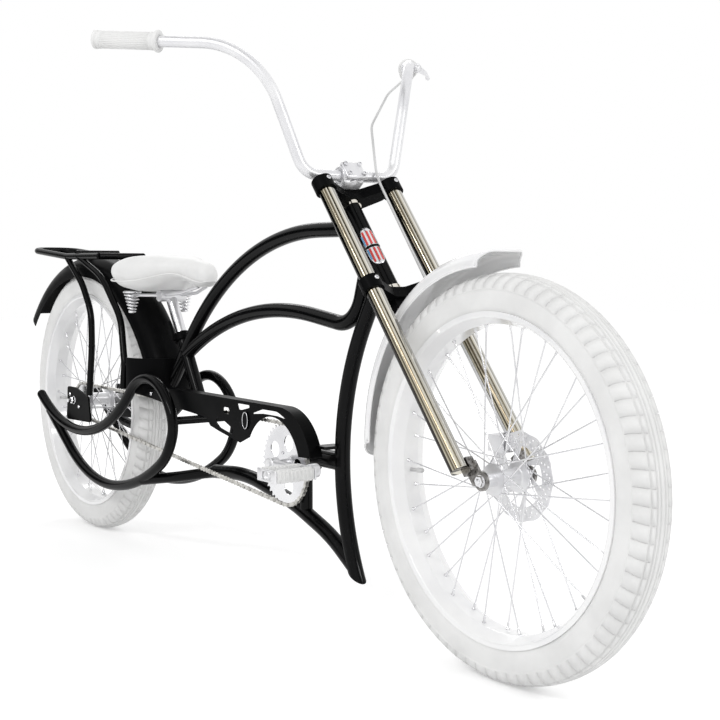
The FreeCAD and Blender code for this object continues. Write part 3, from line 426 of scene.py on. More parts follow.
FINISHES = [
    Finish("gloss_black_paint", (0.0020, 0.0021, 0.0023), (0.0030, 0.0031, 0.0034), 0.24,
           coat=0.16, grain_scale=900.0, bump=0.02, spread=0.05, dust=0.002, specular=0.03),
    Finish("satin_black_paint", (0.0026, 0.0027, 0.0030), (0.0040, 0.0041, 0.0044), 0.34,
           grain_scale=700.0, bump=0.04, spread=0.08, dust=0.003, specular=0.025),
    Finish("dark_cast_steel", (0.34, 0.33, 0.32), (0.10, 0.095, 0.090), 0.30, metallic=1.0,
           grain=Grain.DRAWN, grain_scale=300.0, bump=0.10, spread=0.12, cloud_scale=120.0),
    # chrome of the fork legs, its colour replaced by painted reflections in long light and dark
    # streaks
    ChromeWithPaintedReflections("leg_chrome_painted_reflections", (0.70, 0.67, 0.58), (0.60, 0.56, 0.46), 0.13, metallic=1.0,
                   grain=Grain.DRAWN, grain_scale=260.0, stretch=(0.25, 3.0, 0.25), bump=0.03),
    Finish("warm_chrome", (0.80, 0.77, 0.70), (0.66, 0.62, 0.54), 0.10, metallic=1.0,
           grain=Grain.DRAWN, grain_scale=260.0, stretch=(0.25, 3.0, 0.25), bump=0.05,
           spread=0.08),
    Finish("bright_steel", (0.82, 0.82, 0.83), (0.66, 0.66, 0.68), 0.20, metallic=1.0,
           grain=Grain.DRAWN, grain_scale=500.0, bump=0.04),
    Finish("pale_alloy", (0.81, 0.81, 0.82), (0.72, 0.72, 0.74), 0.32, metallic=0.55,
           grain=Grain.DRAWN, grain_scale=600.0, stretch=(1.0, 0.2, 1.0), bump=0.05),
    Finish("white_paint", (0.88, 0.88, 0.88), (0.83, 0.83, 0.84), 0.22, coat=0.8,
           grain_scale=800.0, bump=0.03, dust=0.03),
    Finish("white_rubber", (0.80, 0.80, 0.795), (0.73, 0.73, 0.725), 0.66,
           grain=Grain.PEBBLED, grain_scale=1400.0, bump=0.10, dust=0.10),
    Finish("white_vinyl", (0.82, 0.82, 0.815), (0.76, 0.76, 0.755), 0.44,
           grain=Grain.PEBBLED, grain_scale=700.0, bump=0.28, dust=0.05),
    Finish("steel_wire", (0.80, 0.80, 0.81), (0.68, 0.68, 0.70), 0.26, metallic=0.9,
           grain=Grain.DRAWN, grain_scale=900.0, bump=0.03),
    Finish("oiled_chain_steel", (0.66, 0.65, 0.62), (0.42, 0.41, 0.39), 0.30, metallic=1.0,
           grain=Grain.DRAWN, grain_scale=900.0, bump=0.06, cloud_scale=90.0),
    Finish("grey_sleeve", (0.62, 0.62, 0.62), (0.52, 0.52, 0.52), 0.50,
           grain=Grain.PEBBLED, grain_scale=1800.0, bump=0.10),
    Finish("red_enamel", (0.68, 0.045, 0.04), (0.60, 0.035, 0.035), 0.2, coat=0.8),
    Finish("blue_enamel", (0.10, 0.34, 0.62), (0.08, 0.28, 0.54), 0.2, coat=0.8),
]

# CAD node to finish
NODE_FINISH = {
    "gloss_black_paint": ["head_tube", "hoop_right", "hoop_left", "top_tube", "middle_tube",
                          "down_tube", "keel", "bottom_bracket", "guard_bracket", "seat_stay",
                          "seat_tube", "rear_rack"],
    "satin_black_paint": ["rear_bridge", "dropouts", "chain_guard", "rear_fender",
                          "upper_crown", "lower_crown", "fender_bracket",
                          "seat_clamp", "guard_badge"],
    # the fork legs take the chrome whose colour is painted reflections
    "leg_chrome_painted_reflections": ["fork_legs"],
    "warm_chrome": ["headset_cups", "steerer"],
    "bright_steel": ["seat_post", "brake_disc", "front_axle", "rear_axle", "chainring",
                     "rear_sprocket"],
    "dark_cast_steel": ["fork_ends"],
    "pale_alloy": ["handlebar", "bar_clamp", "brake_caliper", "crank", "front_hub", "rear_hub",
                   "saddle_frame", "saddle_springs", "brake_lever"],
    "white_paint": ["front_rim", "rear_rim", "front_fender"],
    "white_rubber": ["front_tyre", "rear_tyre", "grips", "pedal_right", "pedal_left"],
    "white_vinyl": ["saddle"],
    "steel_wire": ["front_spokes", "rear_spokes"],
    "oiled_chain_steel": ["chain"],
    "grey_sleeve": ["brake_hose"],
}


class Wardrobe:
    """All materials of the object, and the dressing of CAD nodes."""

    def __init__(self) -> None:
        """Build every finish."""
        groups = ShaderGroups()
        self.made = {finish.name: finish.build(groups) for finish in FINISHES}

    def __getitem__(self, name: str) -> Material:
        """Material of a finish."""
        return self.made[name]

    def dress(self, nodes: dict[str, Object]) -> None:
        """Give each CAD node its finish.

        Args:
            nodes: The CAD nodes by name.
        """
        for finish, names in NODE_FINISH.items():
            for name in names:
                if name not in nodes:
                    LOG.warning("no node %s", name)
                    continue
                item = nodes[name]
                item.data.materials.clear()
                item.data.materials.append(self.made[finish])
        missing = set(nodes) - {n for names in NODE_FINISH.values() for n in names}
        for name in missing:
            LOG.warning("node %s has no finish", name)


def linked(name: str, data: bpy.types.ID) -> Object:
    """Object at the origin, linked to the scene."""
    item = bpy.data.objects.new(name, data)
    bpy.context.scene.collection.objects.link(item)
    return item


def object_of(name: str, mesh: Mesh, material: Material,
              smooth: bool = True) -> Object:
    """Link a mesh as an object at the origin.

    Args:
        name: Name of the object.
        mesh: Its mesh, in the part's frame.
        material: Its finish.
        smooth: Whether the faces are shaded smooth.

    Returns:
        The object.
    """
    mesh.materials.clear()
    mesh.materials.append(material)
    mesh.polygons.foreach_set("use_smooth", [smooth] * len(mesh.polygons))
    return linked(name, mesh)


def flat_sheet(name: str, corners: list[Vector], material: Material) -> Object:
    """Single face with its material, as an object."""
    mesh = bpy.data.meshes.new(name)
    mesh.from_pydata(corners, [], [tuple(range(len(corners)))])
    return object_of(name, mesh, material, smooth=False)


def evaluated(item: Object) -> Mesh:
    """New mesh of an object, as its curve or its modifiers leave it."""
    graph = bpy.context.evaluated_depsgraph_get()
    return bpy.data.meshes.new_from_object(item.evaluated_get(graph))


def realized(item: Object, tree: NodeTree,
                values: dict[str, object]) -> Mesh:
    """Run a Geometry Nodes tree on an object, keep the mesh and remove the object.

    Args:
        item: The object that carries the tree for this one run.
        tree: The tree.
        values: Value of each input, by its socket's identifier.

    Returns:
        The realized mesh.
    """
    modifier = item.modifiers.new("tree", "NODES")
    modifier.node_group = tree
    for identifier, value in values.items():
        modifier[identifier] = value
    bpy.context.view_layer.update()
    mesh = evaluated(item)
    item.modifiers.remove(modifier)
    bpy.data.objects.remove(item)
    return mesh


@dataclass(frozen=True)
class Spot:
    """Place of one copy: its point, its Z direction and its X direction."""

    place: Vector
    up: Vector
    ahead: Vector


def painted(tree: NodeTree, geometry: NodeSocket, finish: NodeSocket) -> NodeSocket:
    """Geometry of a tree with its finish set."""
    return node(tree, "GeometryNodeSetMaterial",
                {"Geometry": geometry, "Material": finish}).outputs["Geometry"]


class Repeater:
    """Copies of one small shape, set on points by a Geometry Nodes tree."""

    def __init__(self, name: str) -> None:
        """Build the tree.

        Args:
            name: Name of the tree.
        """
        tree, given, result, self.sockets = new_group(
            "GeometryNodeTree", name,
            [("Geometry", "Geometry", None), ("Unit", "Object", None), ("Scale", "Float", 1.0),
             ("Join Distance", "Float", 0.0), ("Finish", "Material", None)],
            [("Geometry", "Geometry")])
        self.tree = tree
        unit = node(tree, "GeometryNodeObjectInfo", {"Object": given["Unit"]})
        turned = self._axis("ahead", "X", self._axis("up", "Z", None))
        copies = node(tree, "GeometryNodeInstanceOnPoints",
                      {"Points": given["Geometry"], "Instance": unit.outputs["Geometry"],
                       "Rotation": turned.outputs["Rotation"], "Scale": given["Scale"]})
        real = node(tree, "GeometryNodeRealizeInstances",
                    {"Geometry": copies.outputs["Instances"]})
        merge = node(tree, "GeometryNodeMergeByDistance",
                     {"Geometry": real.outputs["Geometry"], "Distance": given["Join Distance"]})
        feed(tree, result, {"Geometry": painted(tree, merge.outputs["Geometry"],
                                                given["Finish"])})

    def _axis(self, attribute: str, axis: str,
              before: Node | None) -> Node:
        """Node that turns an axis of each copy to a direction stored on its point."""
        stored = node(self.tree, "GeometryNodeInputNamedAttribute", {"Name": attribute},
                      data_type="FLOAT_VECTOR")
        align = node(self.tree, "FunctionNodeAlignRotationToVector",
                     {"Vector": stored.outputs["Attribute"]}, axis=axis,
                     pivot_axis="AUTO" if before is None else "Z")
        if before is not None:
            feed(self.tree, align, {"Rotation": before.outputs["Rotation"]})
        return align

    def spread(self, name: str, unit: Mesh, spots: list[Spot],
               finish: Material, join: float = 0.0,
               smooth: bool = True) -> Object:
        """Set a copy of a shape on each spot and make the whole a plain mesh.

        Args:
            name: Name of the piece.
            unit: The shape, its Z up and its X ahead.
            spots: Places and directions of the copies.
            finish: Material of the piece.
            join: Distance under which points of neighbours are merged, in metres.
            smooth: Whether faces are shaded smooth.

        Returns:
            The piece, at the origin.
        """
        cloud = bpy.data.meshes.new(name + "_points")
        cloud.from_pydata([spot.place for spot in spots], [], [])
        for label in ("up", "ahead"):
            layer = cloud.attributes.new(label, "FLOAT_VECTOR", "POINT")
            values = [value for spot in spots for value in getattr(spot, label)]
            layer.data.foreach_set("vector", values)
        sample = linked(name + "_unit", unit)
        values = {"Unit": sample, "Scale": 1.0, "Join Distance": join, "Finish": finish}
        mesh = realized(linked(name + "_carrier", cloud), self.tree,
                           {self.sockets[label]: value for label, value in values.items()})
        bpy.data.objects.remove(sample)
        LOG.info("%s: %d copies", name, len(spots))
        return object_of(name, mesh, finish, smooth)


def clean(mesh: Mesh) -> Mesh:
    """Merge the double points of a mesh and turn its faces outwards."""
    shape = bmesh.new()
    shape.from_mesh(mesh)
    bmesh.ops.remove_doubles(shape, verts=shape.verts, dist=SAME_POINT)
    bmesh.ops.recalc_face_normals(shape, faces=shape.faces)
    shape.to_mesh(mesh)
    shape.free()
    return mesh


def mesh_of(name: str, points: list[Vector] | list[Point],
            faces: list[Face]) -> Mesh:
    """Closed mesh from points and faces, with its faces turned outwards.

    Args:
        name: Name of the mesh.
        points: Corners.
        faces: Corner numbers of each face.

    Returns:
        The mesh.
    """
    mesh = bpy.data.meshes.new(name)
    mesh.from_pydata([tuple(point) for point in points], [], faces)
    return clean(mesh)


def circle(count: int) -> Outline:
    """Cosine and sine of even steps round a full turn."""
    angles = [math.tau * number / count for number in range(count)]
    return [(math.cos(angle), math.sin(angle)) for angle in angles]


def skin_faces(rings: int, count: int, looped: bool = False) -> list[Face]:
    """Faces between closed rings of points, each ring joined to the next.

    Args:
        rings: Rings.
        count: Points in a ring.
        looped: Whether the last ring is joined to the first.

    Returns:
        Corner numbers of each face.
    """
    faces: list[Face] = []
    for row in range(rings if looped else rings - 1):
        low, high = row * count, (row + 1) % rings * count
        for i in range(count):
            j = (i + 1) % count
            faces.append((low + i, low + j, high + j, high + i))
    return faces


def turned_solid(name: str, profile: Profile, count: int) -> Mesh:
    """Solid turned about Z from a profile of (radius, height) rows.

    Args:
        name: Name of the mesh.
        profile: Rows from the lower to the upper end; a radius of 0 closes an end.
        count: Sides round the axis.

    Returns:
        The mesh.
    """
    points = [(radius * c, radius * s, height) for radius, height in profile
              for c, s in circle(count)]
    faces = skin_faces(len(profile), count)
    for row in (0, len(profile) - 1):
        if profile[row][0] > SAME_POINT:
            faces.append(tuple(row * count + side for side in range(count)))
    mesh = mesh_of(name, points, faces)
    shape = bmesh.new()
    shape.from_mesh(mesh)
    bmesh.ops.dissolve_degenerate(shape, dist=1e-7, edges=shape.edges)
    shape.to_mesh(mesh)
    shape.free()
    return mesh


def turned_ring(name: str, profile: Profile, count: int) -> Mesh:
    """Ring turned about Z from a closed profile of (radius, height) rows.

    Args:
        name: Name of the mesh.
        profile: Rows round the section, none on the axis.
        count: Sides round the axis.

    Returns:
        The mesh.
    """
    points = [(radius * c, radius * s, height) for radius, height in profile
              for c, s in circle(count)]
    return mesh_of(name, points, skin_faces(len(profile), count, looped=True))


def soft_block(name: str, size: Vector, bevel: float, steps: int = 2) -> Mesh:
    """Block about the origin whose edges are rounded.

    Args:
        name: Name of the mesh.
        size: Length, width and height.
        bevel: Radius of the edges.
        steps: Faces round an edge.

    Returns:
        The mesh.
    """
    shape = bmesh.new()
    bmesh.ops.create_cube(shape, size=1.0)
    bmesh.ops.scale(shape, vec=size, verts=shape.verts)
    bmesh.ops.bevel(shape, geom=list(shape.edges), offset=bevel, segments=steps, profile=0.5,
                    affect="EDGES")
    bmesh.ops.recalc_face_normals(shape, faces=shape.faces)
    mesh = bpy.data.meshes.new(name)
    shape.to_mesh(mesh)
    shape.free()
    return mesh


def lofted(name: str, rings: list[list[Vector]]) -> Mesh:
    """Closed skin through rings of equal counts, its ends filled."""
    count = len(rings[0])
    points = [point for ring in rings for point in ring]
    faces = skin_faces(len(rings), count)
    faces += [tuple(row * count + i for i in range(count)) for row in (0, len(rings) - 1)]
    return mesh_of(name, points, faces)


def assembled(name: str, parts: list[tuple[Mesh, Matrix]], material: Material,
              smooth: bool = True) -> Object:
    """Make one piece of several meshes.

    Args:
        name: Name of the piece.
        parts: Each mesh with the matrix that moves it to its place.
        material: Its finish.
        smooth: Whether the faces are shaded smooth.

    Returns:
        The piece.
    """
    whole = bmesh.new()
    for mesh, move in parts:
        placed = mesh.copy()
        placed.transform(move)
        whole.from_mesh(placed)
        bpy.data.meshes.remove(placed)
    result = bpy.data.meshes.new(name)
    whole.to_mesh(result)
    whole.free()
    return object_of(name, result, material, smooth)


def frame_at(place: Vector, up: Vector, ahead: Vector) -> Matrix:
    """Matrix that stands Z along one direction, with X near another, at a place."""
    z = up.normalized()
    y = z.cross(ahead).normalized()
    x = y.cross(z)
    turn = Matrix((x, y, z)).transposed().to_4x4()
    return Matrix.Translation(place) @ turn


def hex_socket_bolt(radius: float, head: float) -> Mesh:
    """Round bolt head with a hexagonal socket, standing on its seat.

    Args:
        radius: Radius of the head.
        head: Height of the head.

    Returns:
        The mesh.
    """
    rows = [(radius * 0.98, -0.0004), (radius, head * 0.75), (radius * 0.86, head),
            (radius * 0.55, head), (radius * 0.5, head * 0.45), (0.0, head * 0.45)]
    return turned_solid("bolt_head", rows, 12)


def hex_nut(radius: float, tall: float) -> Mesh:
    """Six-sided nut with a domed middle."""
    rows = [(radius, -0.0004), (radius, tall * 0.85), (radius * 0.9, tall),
            (radius * 0.55, tall), (radius * 0.5, tall * 1.25), (0.0, tall * 1.35)]
    return turned_solid("nut", rows, 6)


@dataclass(frozen=True)
class Tyre:
    """Fat tyre with curved sipes across its shoulders and grooves round its tread.

    Attributes:
        end: front or rear.
        axle: Wheel's centre.
        radius: Outer radius.
        half: Half of its width.
        bed: Radius where it sits in the rim.
        pitches: Sipes on each shoulder.
        sipe: Depth of a sipe.
        sipe_wide: Width of a sipe round the tread.
        groove: Depth of the grooves round the tread.
        bow: Share of a pitch that a sipe curves back by at the tread's edge.
        slope: Run of a sipe's wall round the tread.
        seam: Distance under which points of neighbouring pitches are joined.
    """

    end: str
    axle: Vector
    radius: float = 0.351
    half: float = 0.039
    bed: float = 0.2806
    pitches: int = 78
    sipe: float = 0.0022
    sipe_wide: float = 0.0024
    groove: float = 0.0020
    bow: float = 0.25
    slope: float = 0.0006
    seam: float = 0.00005

    def section(self) -> list[tuple[float, float, float, float]]:
        """Rows of the cross-section from bead to bead.

        Returns:
            Radius, side, depth of a groove round the tread and share of the sipes there.
        """
        wall = [(self.bed, 0.0338), (0.2862, 0.0338), (0.2885, 0.0362), (0.2960, 0.0383),
                (0.3040, 0.0389), (0.3120, 0.0387), (0.3200, 0.0382), (0.3228, 0.0380),
                (0.3234, 0.0386), (0.3246, 0.0388)]
        tread = [(0.3256, 0.0387, 0.0, 1.0), (0.3290, 0.0381, 0.0, 1.0),
                 (0.3330, 0.0367, 0.0, 1.0), (0.3368, 0.0345, 0.0, 1.0),
                 (0.3402, 0.0315, 0.0, 1.0), (0.3430, 0.0282, 0.0, 1.0),
                 (0.3450, 0.0252, 0.0, 1.0), (0.3462, 0.0232, 0.0, 1.0),
                 (0.3467, 0.0223, 1.0, 0.0), (0.3474, 0.0206, 1.0, 0.0),
                 (0.3478, 0.0198, 0.0, 1.0), (0.3489, 0.0165, 0.0, 1.0),
                 (0.3497, 0.0132, 0.0, 1.0), (0.3499, 0.0124, 1.0, 0.0),
                 (0.3502, 0.0108, 1.0, 0.0), (0.3503, 0.0100, 0.0, 0.0),
                 (0.3508, 0.0064, 0.0, 0.0), (0.3508, 0.0057, 1.0, 0.0),
                 (0.3509, 0.0043, 1.0, 0.0), (0.3509, 0.0036, 0.0, 0.0),
                 (0.3510, 0.0, 0.0, 0.0)]
        rows = [(radius, side, 0.0, 0.0) for radius, side in wall]
        rows += [(radius, side, ring * self.groove, share)
                 for radius, side, ring, share in tread]
        return rows + [(r, -y, g, m) for r, y, g, m in reversed(rows[:-1])]

    def pitch_mesh(self) -> Mesh:
        """One pitch of the tread with its wall, about the X and Y axes of the axle."""
        rows = self.section()
        step = math.tau / self.pitches
        wide, slope = self.sipe_wide / self.radius, self.slope / self.radius
        columns = [(0.0, 0.0), (slope, 1.0), (wide - slope, 1.0), (wide, 0.0),
                   (0.5 * (wide + step), 0.0), (step, 0.0)]
        points: list[Point] = []
        faces: list[Face] = []
        for number, (radius, side, ring, share) in enumerate(rows):
            before, after = rows[max(number - 1, 0)], rows[min(number + 1, len(rows) - 1)]
            run = Vector((after[0] - before[0], after[1] - before[1])).normalized()
            outward = Vector((-run.y, run.x))
            bow = self.bow * step * (abs(side) / self.half) ** 2
            for turn, cut in columns:
                depth = max(ring, cut * share * self.sipe)
                angle = turn + bow
                reach = radius - depth * outward.x
                points.append((reach * math.cos(angle), side - depth * outward.y,
                               reach * math.sin(angle)))
        count = len(columns)
        for row in range(len(rows) - 1):
            for first in range(row * count, (row + 1) * count - 1):
                faces.append((first, first + count, first + count + 1, first + 1))
        mesh = bpy.data.meshes.new(self.end + "_pitch")
        mesh.from_pydata(points, [], faces)
        return mesh

    def build(self, repeater: Repeater, finish: Material) -> Object:
        """Make the tyre from its pitches and close it along the beads.

        Args:
            repeater: The tree that spreads copies.
            finish: Rubber.

        Returns:
            The tyre.
        """
        spots = []
        for c, s in circle(self.pitches):
            ahead = Vector((c, 0.0, s))
            spots.append(Spot(self.axle, ahead.cross(LEFT), ahead))
        tyre = repeater.spread(self.end + "_tyre_tread", self.pitch_mesh(), spots, finish,
                               join=self.seam)
        shape = bmesh.new()
        shape.from_mesh(tyre.data)
        open_edges = [edge for edge in shape.edges if edge.is_boundary]
        if open_edges:
            bmesh.ops.bridge_loops(shape, edges=open_edges)
        bmesh.ops.recalc_face_normals(shape, faces=shape.faces)
        loose = sum(edge.is_boundary for edge in shape.edges)
        shape.to_mesh(tyre.data)
        shape.free()
        LOG.info("%s tyre: %d open edges", self.end, loose)
        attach(tyre, self.end + "_wheel")
        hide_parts(self.end + "_tyre")
        return tyre


@dataclass(frozen=True)
class WheelTrim:
    """Spoke nipples and valve of one wheel.

    Attributes:
        end: front or rear.
        axle: Wheel's centre.
        flange: Radius of the spoke holes.
        flange_side: Outer face of a hub flange to the middle plane.
        rim: Inner radius of the rim.
        count: Spokes.
        lean: How far a spoke's root lies round the hub from its tip, in degrees.
        tip_side: Spoke hole in the rim to the middle plane.
        valve: Place of the valve round the wheel, in degrees.
    """

    end: str
    axle: Vector
    flange: float
    flange_side: float
    rim: float = 0.2645
    count: int = 36
    lean: float = 48.0
    tip_side: float = 0.007
    valve: float = 184.0

    def build(self, repeater: Repeater, wardrobe: Wardrobe) -> None:
        """Make the small pieces of the wheel."""
        spots = []
        for number in range(self.count):
            side = 1.0 if number % 2 else -1.0
            lean = 1.0 if (number // 2) % 2 else -1.0
            angle = math.tau * number / self.count
            back = angle + lean * math.radians(self.lean)
            root = spoke_way(back) * self.flange + LEFT * (side * self.flange_side)
            tip = spoke_way(angle) * self.rim + LEFT * (side * self.tip_side)
            spots.append(Spot(self.axle + tip, (root - tip).normalized(), LEFT))
        rows = [(0.0034, -0.0010), (0.0034, 0.0012), (0.0022, 0.0022), (0.0020, 0.0120),
                (0.0014, 0.0130)]
        nipples = repeater.spread(self.end + "_spoke_nipples",
                                  turned_solid("nipple", rows, 8), spots,
                                  wardrobe["bright_steel"])
        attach(nipples, self.end + "_wheel")
        outward = spoke_way(math.radians(self.valve))
        stem = [(0.0036, -0.0020), (0.0036, 0.0200), (0.0046, 0.0210), (0.0046, 0.0330),
                (0.0036, 0.0350), (0.0, 0.0352)]
        valve = repeater.spread(self.end + "_valve", turned_solid("valve", stem, 14),
                                [Spot(self.axle + outward * self.rim, -outward, LEFT)],
                                wardrobe["grey_sleeve"])
        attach(valve, self.end + "_wheel")


@dataclass(frozen=True)
class ChainLoop:
    """Closed chain of inner and outer links round the chainring and the sprocket.

    Attributes:
        pitch: Distance between pins.
        ring_teeth: Teeth of the chainring.
        cog_teeth: Teeth of the sprocket.
        side: Middle of the chain to the left.
        plate: Radius of a plate's ends.
        waist: Half the height of a plate's middle.
        thick: Thickness of a plate.
        roller: Radius of a roller.
        outer: Half of the space between outer plates.
        inner: Half of the space between inner plates.
    """

    pitch: float = 0.0127
    ring_teeth: int = 42
    cog_teeth: int = 22
    side: float = -0.047
    plate: float = 0.0042
    waist: float = 0.0026
    thick: float = 0.0009
    roller: float = 0.0038
    outer: float = 0.0029
    inner: float = 0.0018

    def pins(self) -> list[Vector]:
        """Places of the pins, evenly spaced along the loop."""
        ring = self.pitch / (2.0 * math.sin(math.pi / self.ring_teeth))
        cog = self.pitch / (2.0 * math.sin(math.pi / self.cog_teeth))
        behind, ahead = Vector(REAR_AXLE), Vector(CRANK_AXIS)
        gap = ahead - behind
        lean = math.atan2(gap.z, gap.x)
        wrap = math.asin((ring - cog) / gap.length)
        run = gap.length * math.cos(wrap)
        front, rear = ring * (math.pi + 2.0 * wrap), cog * (math.pi - 2.0 * wrap)
        total = 2.0 * run + front + rear
        count = 2 * int(round(total / self.pitch / 2.0))
        spots = []
        for number in range(count):
            travel = total * number / count
            normal = lean + math.pi / 2.0 + wrap
            centre, radius, onward = behind, cog, 0.0
            if travel < run:
                onward = travel
            elif travel < run + front:
                centre, radius = ahead, ring
                normal -= (travel - run) / ring
            elif travel < 2.0 * run + front:
                centre, radius = ahead, ring
                normal -= front / ring
                onward = travel - run - front
            else:
                normal -= front / ring + (travel - 2.0 * run - front) / cog
            out = spoke_way(normal)
            along = Vector((out.z, 0.0, -out.x))
            spots.append(centre + out * radius + along * onward + LEFT * self.side)
        return spots

    def link_mesh(self, gap: float) -> Mesh:
        """Two waisted plates with their rollers, along X from the first pin.

        Args:
            gap: Half of the space between the plates.

        Returns:
            The mesh, with the chain's side along Z.
        """
        outline: Outline = []
        for end, start, waist in ((0.0, 90.0, -self.waist), (self.pitch, -90.0, self.waist)):
            for number in range(6):
                angle = math.radians(start + 180.0 * number / 5.0)
                outline.append((end + self.plate * math.cos(angle),
                                self.plate * math.sin(angle)))
            outline.append((0.5 * self.pitch, waist))
        prisms = [(outline, side * gap, side * (gap + self.thick)) for side in (-1.0, 1.0)]
        prisms += [([(x + self.roller * c, self.roller * s) for c, s in circle(8)], -gap, gap)
                   for x in (0.0, self.pitch)]
        points: list[Point] = []
        faces: list[Face] = []
        for rim, low, high in prisms:
            base, count = len(points), len(rim)
            points += [(x, y, level) for level in (low, high) for x, y in rim]
            walls = skin_faces(2, count)
            walls += [tuple(start + i for i in range(count)) for start in (0, count)]
            faces += [tuple(base + corner for corner in face) for face in walls]
        return mesh_of("chain_link", points, faces)

    def build(self, repeater: Repeater, wardrobe: Wardrobe) -> None:
        """Make the outer and the inner links."""
        pins = self.pins()
        kinds: dict[str, list[Spot]] = {"chain_outer_links": [], "chain_inner_links": []}
        for number, pin in enumerate(pins):
            after = pins[(number + 1) % len(pins)]
            name = "chain_outer_links" if number % 2 else "chain_inner_links"
            kinds[name].append(Spot(pin, LEFT, (after - pin).normalized()))
        for name, gap in (("chain_outer_links", self.outer), ("chain_inner_links", self.inner)):
            item = repeater.spread(name, self.link_mesh(gap), kinds[name],
                                   wardrobe["oiled_chain_steel"], smooth=False)
            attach(item, "frame")
            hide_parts("chain")


@dataclass(frozen=True)
class Saddle:
    """Broad padded saddle with a nose and a piped edge.

    Attributes:
        rows: Station ahead of the rear axle, half width, and top and bottom above the ground.
        swell: Most that the cover may move outwards.
        side_power: Roundness of a section's sides.
        top_power: Roundness of its top.
        base_power: Roundness of its bottom.
        dish: Depth of the hollow along the broad rear, as a share of half the height.
        broad: Half width from which a section has that hollow.
        tuck: Share of the width that is left below the middle.
        cell: Size of a face of the even mesh.
        pressure: Air pressure in the cloth simulation.
        frames: Steps of the simulation.
        bead: Radius of the piping.
        bead_side: Place of the piping, as a share of the half width.
        bead_rise: Its height over the bottom, as a share of the whole height.
    """

    rows: tuple[tuple[float, float, float, float], ...] = (
        (0.296, 0.058, 0.712, 0.682), (0.306, 0.092, 0.722, 0.668), (0.325, 0.114, 0.731, 0.660),
        (0.352, 0.122, 0.736, 0.655), (0.385, 0.121, 0.738, 0.653), (0.420, 0.111, 0.7385, 0.654),
        (0.455, 0.094, 0.738, 0.660), (0.485, 0.074, 0.734, 0.672), (0.512, 0.056, 0.730, 0.682),
        (0.540, 0.043, 0.727, 0.682), (0.570, 0.035, 0.7235, 0.672), (0.597, 0.031, 0.720, 0.664),
        (0.617, 0.027, 0.714, 0.661), (0.629, 0.021, 0.705, 0.664), (0.635, 0.012, 0.694, 0.671))
    swell: float = 0.004
    side_power: float = 0.72
    top_power: float = 0.62
    base_power: float = 0.45
    dish: float = 0.10
    broad: float = 0.07
    tuck: float = 0.93
    cell: float = 0.005
    pressure: float = 4.0
    frames: int = 20
    bead: float = 0.0017
    bead_side: float = 0.985
    bead_rise: float = 0.26

    def ring(self, x: float, half: float, top: float, bottom: float,
             count: int = 36) -> list[Vector]:
        """Points of one cross-section, flat below and crowned above."""
        points = []
        middle, rise = 0.5 * (top + bottom), 0.5 * (top - bottom)
        for c, s in circle(count):
            power = self.top_power if s > 0 else self.base_power
            y = half * math.copysign(abs(c) ** self.side_power, c)
            z = middle + rise * math.copysign(abs(s) ** power, s)
            if s > 0 and half > self.broad:
                z -= self.dish * rise * (1.0 - min(1.0, abs(y) / half))
            if s < 0:
                y *= self.tuck
            points.append(Vector((x - AXLE_BACK, y, z + GROUND_Z)))
        return points

    def cushion(self) -> Object:
        """Closed cushion lofted through the stations."""
        rings = [self.ring(*row) for row in self.rows]
        count = len(rings[0])
        points = [point for ring in rings for point in ring]
        faces = skin_faces(len(rings), count)
        for row, bulge in ((0, -0.004), (len(rings) - 1, 0.003)):
            faces += [(row * count + i, row * count + (i + 1) % count, len(points))
                      for i in range(count)]
            points.append(sum(rings[row], Vector()) / count + AHEAD * bulge)
        return linked("saddle_cover", mesh_of("saddle_cover", points, faces))

    def inflate(self, item: Object) -> None:
        """Swell the cushion by a cloth simulation and keep the result in its mesh."""
        remesh = item.modifiers.new("even", "REMESH")
        remesh.mode = "VOXEL"
        remesh.voxel_size = self.cell
        even = evaluated(item)
        item.modifiers.remove(remesh)
        item.data = even
        before = [vertex.co.copy() for vertex in even.vertices]
        cloth = item.modifiers.new("cloth", "CLOTH")
        cloth.settings.use_pressure = True
        cloth.settings.uniform_pressure_force = self.pressure
        cloth.settings.effector_weights.gravity = 0.0
        cloth.settings.quality = 5
        scene = bpy.context.scene
        for frame in range(1, self.frames + 1):
            scene.frame_set(frame)
        blown = evaluated(item)
        item.modifiers.remove(cloth)
        scene.frame_set(1)
        for vertex, old, new in zip(even.vertices, before, blown.vertices):
            move = new.co - old
            vertex.co = old + move * min(1.0, self.swell / max(move.length, 1e-9))
        smooth = item.modifiers.new("relax", "SMOOTH")
        smooth.factor = 0.5
        smooth.iterations = 6
        finer = item.modifiers.new("finer", "SUBSURF")
        finer.levels = finer.render_levels = 1
        item.data = evaluated(item)
        item.modifiers.clear()

    def piping(self, finish: Material) -> Object:
        """Sewn bead along the cushion's lower edge."""
        right = [Vector((x - AXLE_BACK, -half * self.bead_side,
                         bottom + self.bead_rise * (top - bottom) + GROUND_Z))
                 for x, half, top, bottom in self.rows[1:]]
        left = [to_side(place, -1.0) for place in reversed(right)]
        back = [Vector((-0.124, 0.06, -0.052)), Vector((-0.1265, 0.0, -0.052)),
                Vector((-0.124, -0.06, -0.052))]
        run = right + left + back
        curve = bpy.data.curves.new("saddle_piping", "CURVE")
        curve.dimensions = "3D"
        curve.bevel_depth = self.bead
        curve.bevel_resolution = 3
        spline = curve.splines.new("NURBS")
        spline.points.add(len(run) - 1)
        for point, place in zip(spline.points, run):
            point.co = (*place, 1.0)
        spline.use_cyclic_u = True
        spline.order_u = 3
        item = linked("saddle_piping", curve)
        mesh = evaluated(item)
        bpy.data.objects.remove(item)
        return object_of("saddle_piping", mesh, finish)

    def build(self, wardrobe: Wardrobe) -> None:
        """Make the cushion with its piping."""
        cover = self.cushion()
        self.inflate(cover)
        cover.data.materials.clear()
        cover.data.materials.append(wardrobe["white_vinyl"])
        cover.data.polygons.foreach_set("use_smooth", [True] * len(cover.data.polygons))
        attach(cover, "frame")
        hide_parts("saddle")
        bead = self.piping(wardrobe["white_vinyl"])
        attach(bead, "frame")
        LOG.info("saddle: %d faces", len(cover.data.polygons))


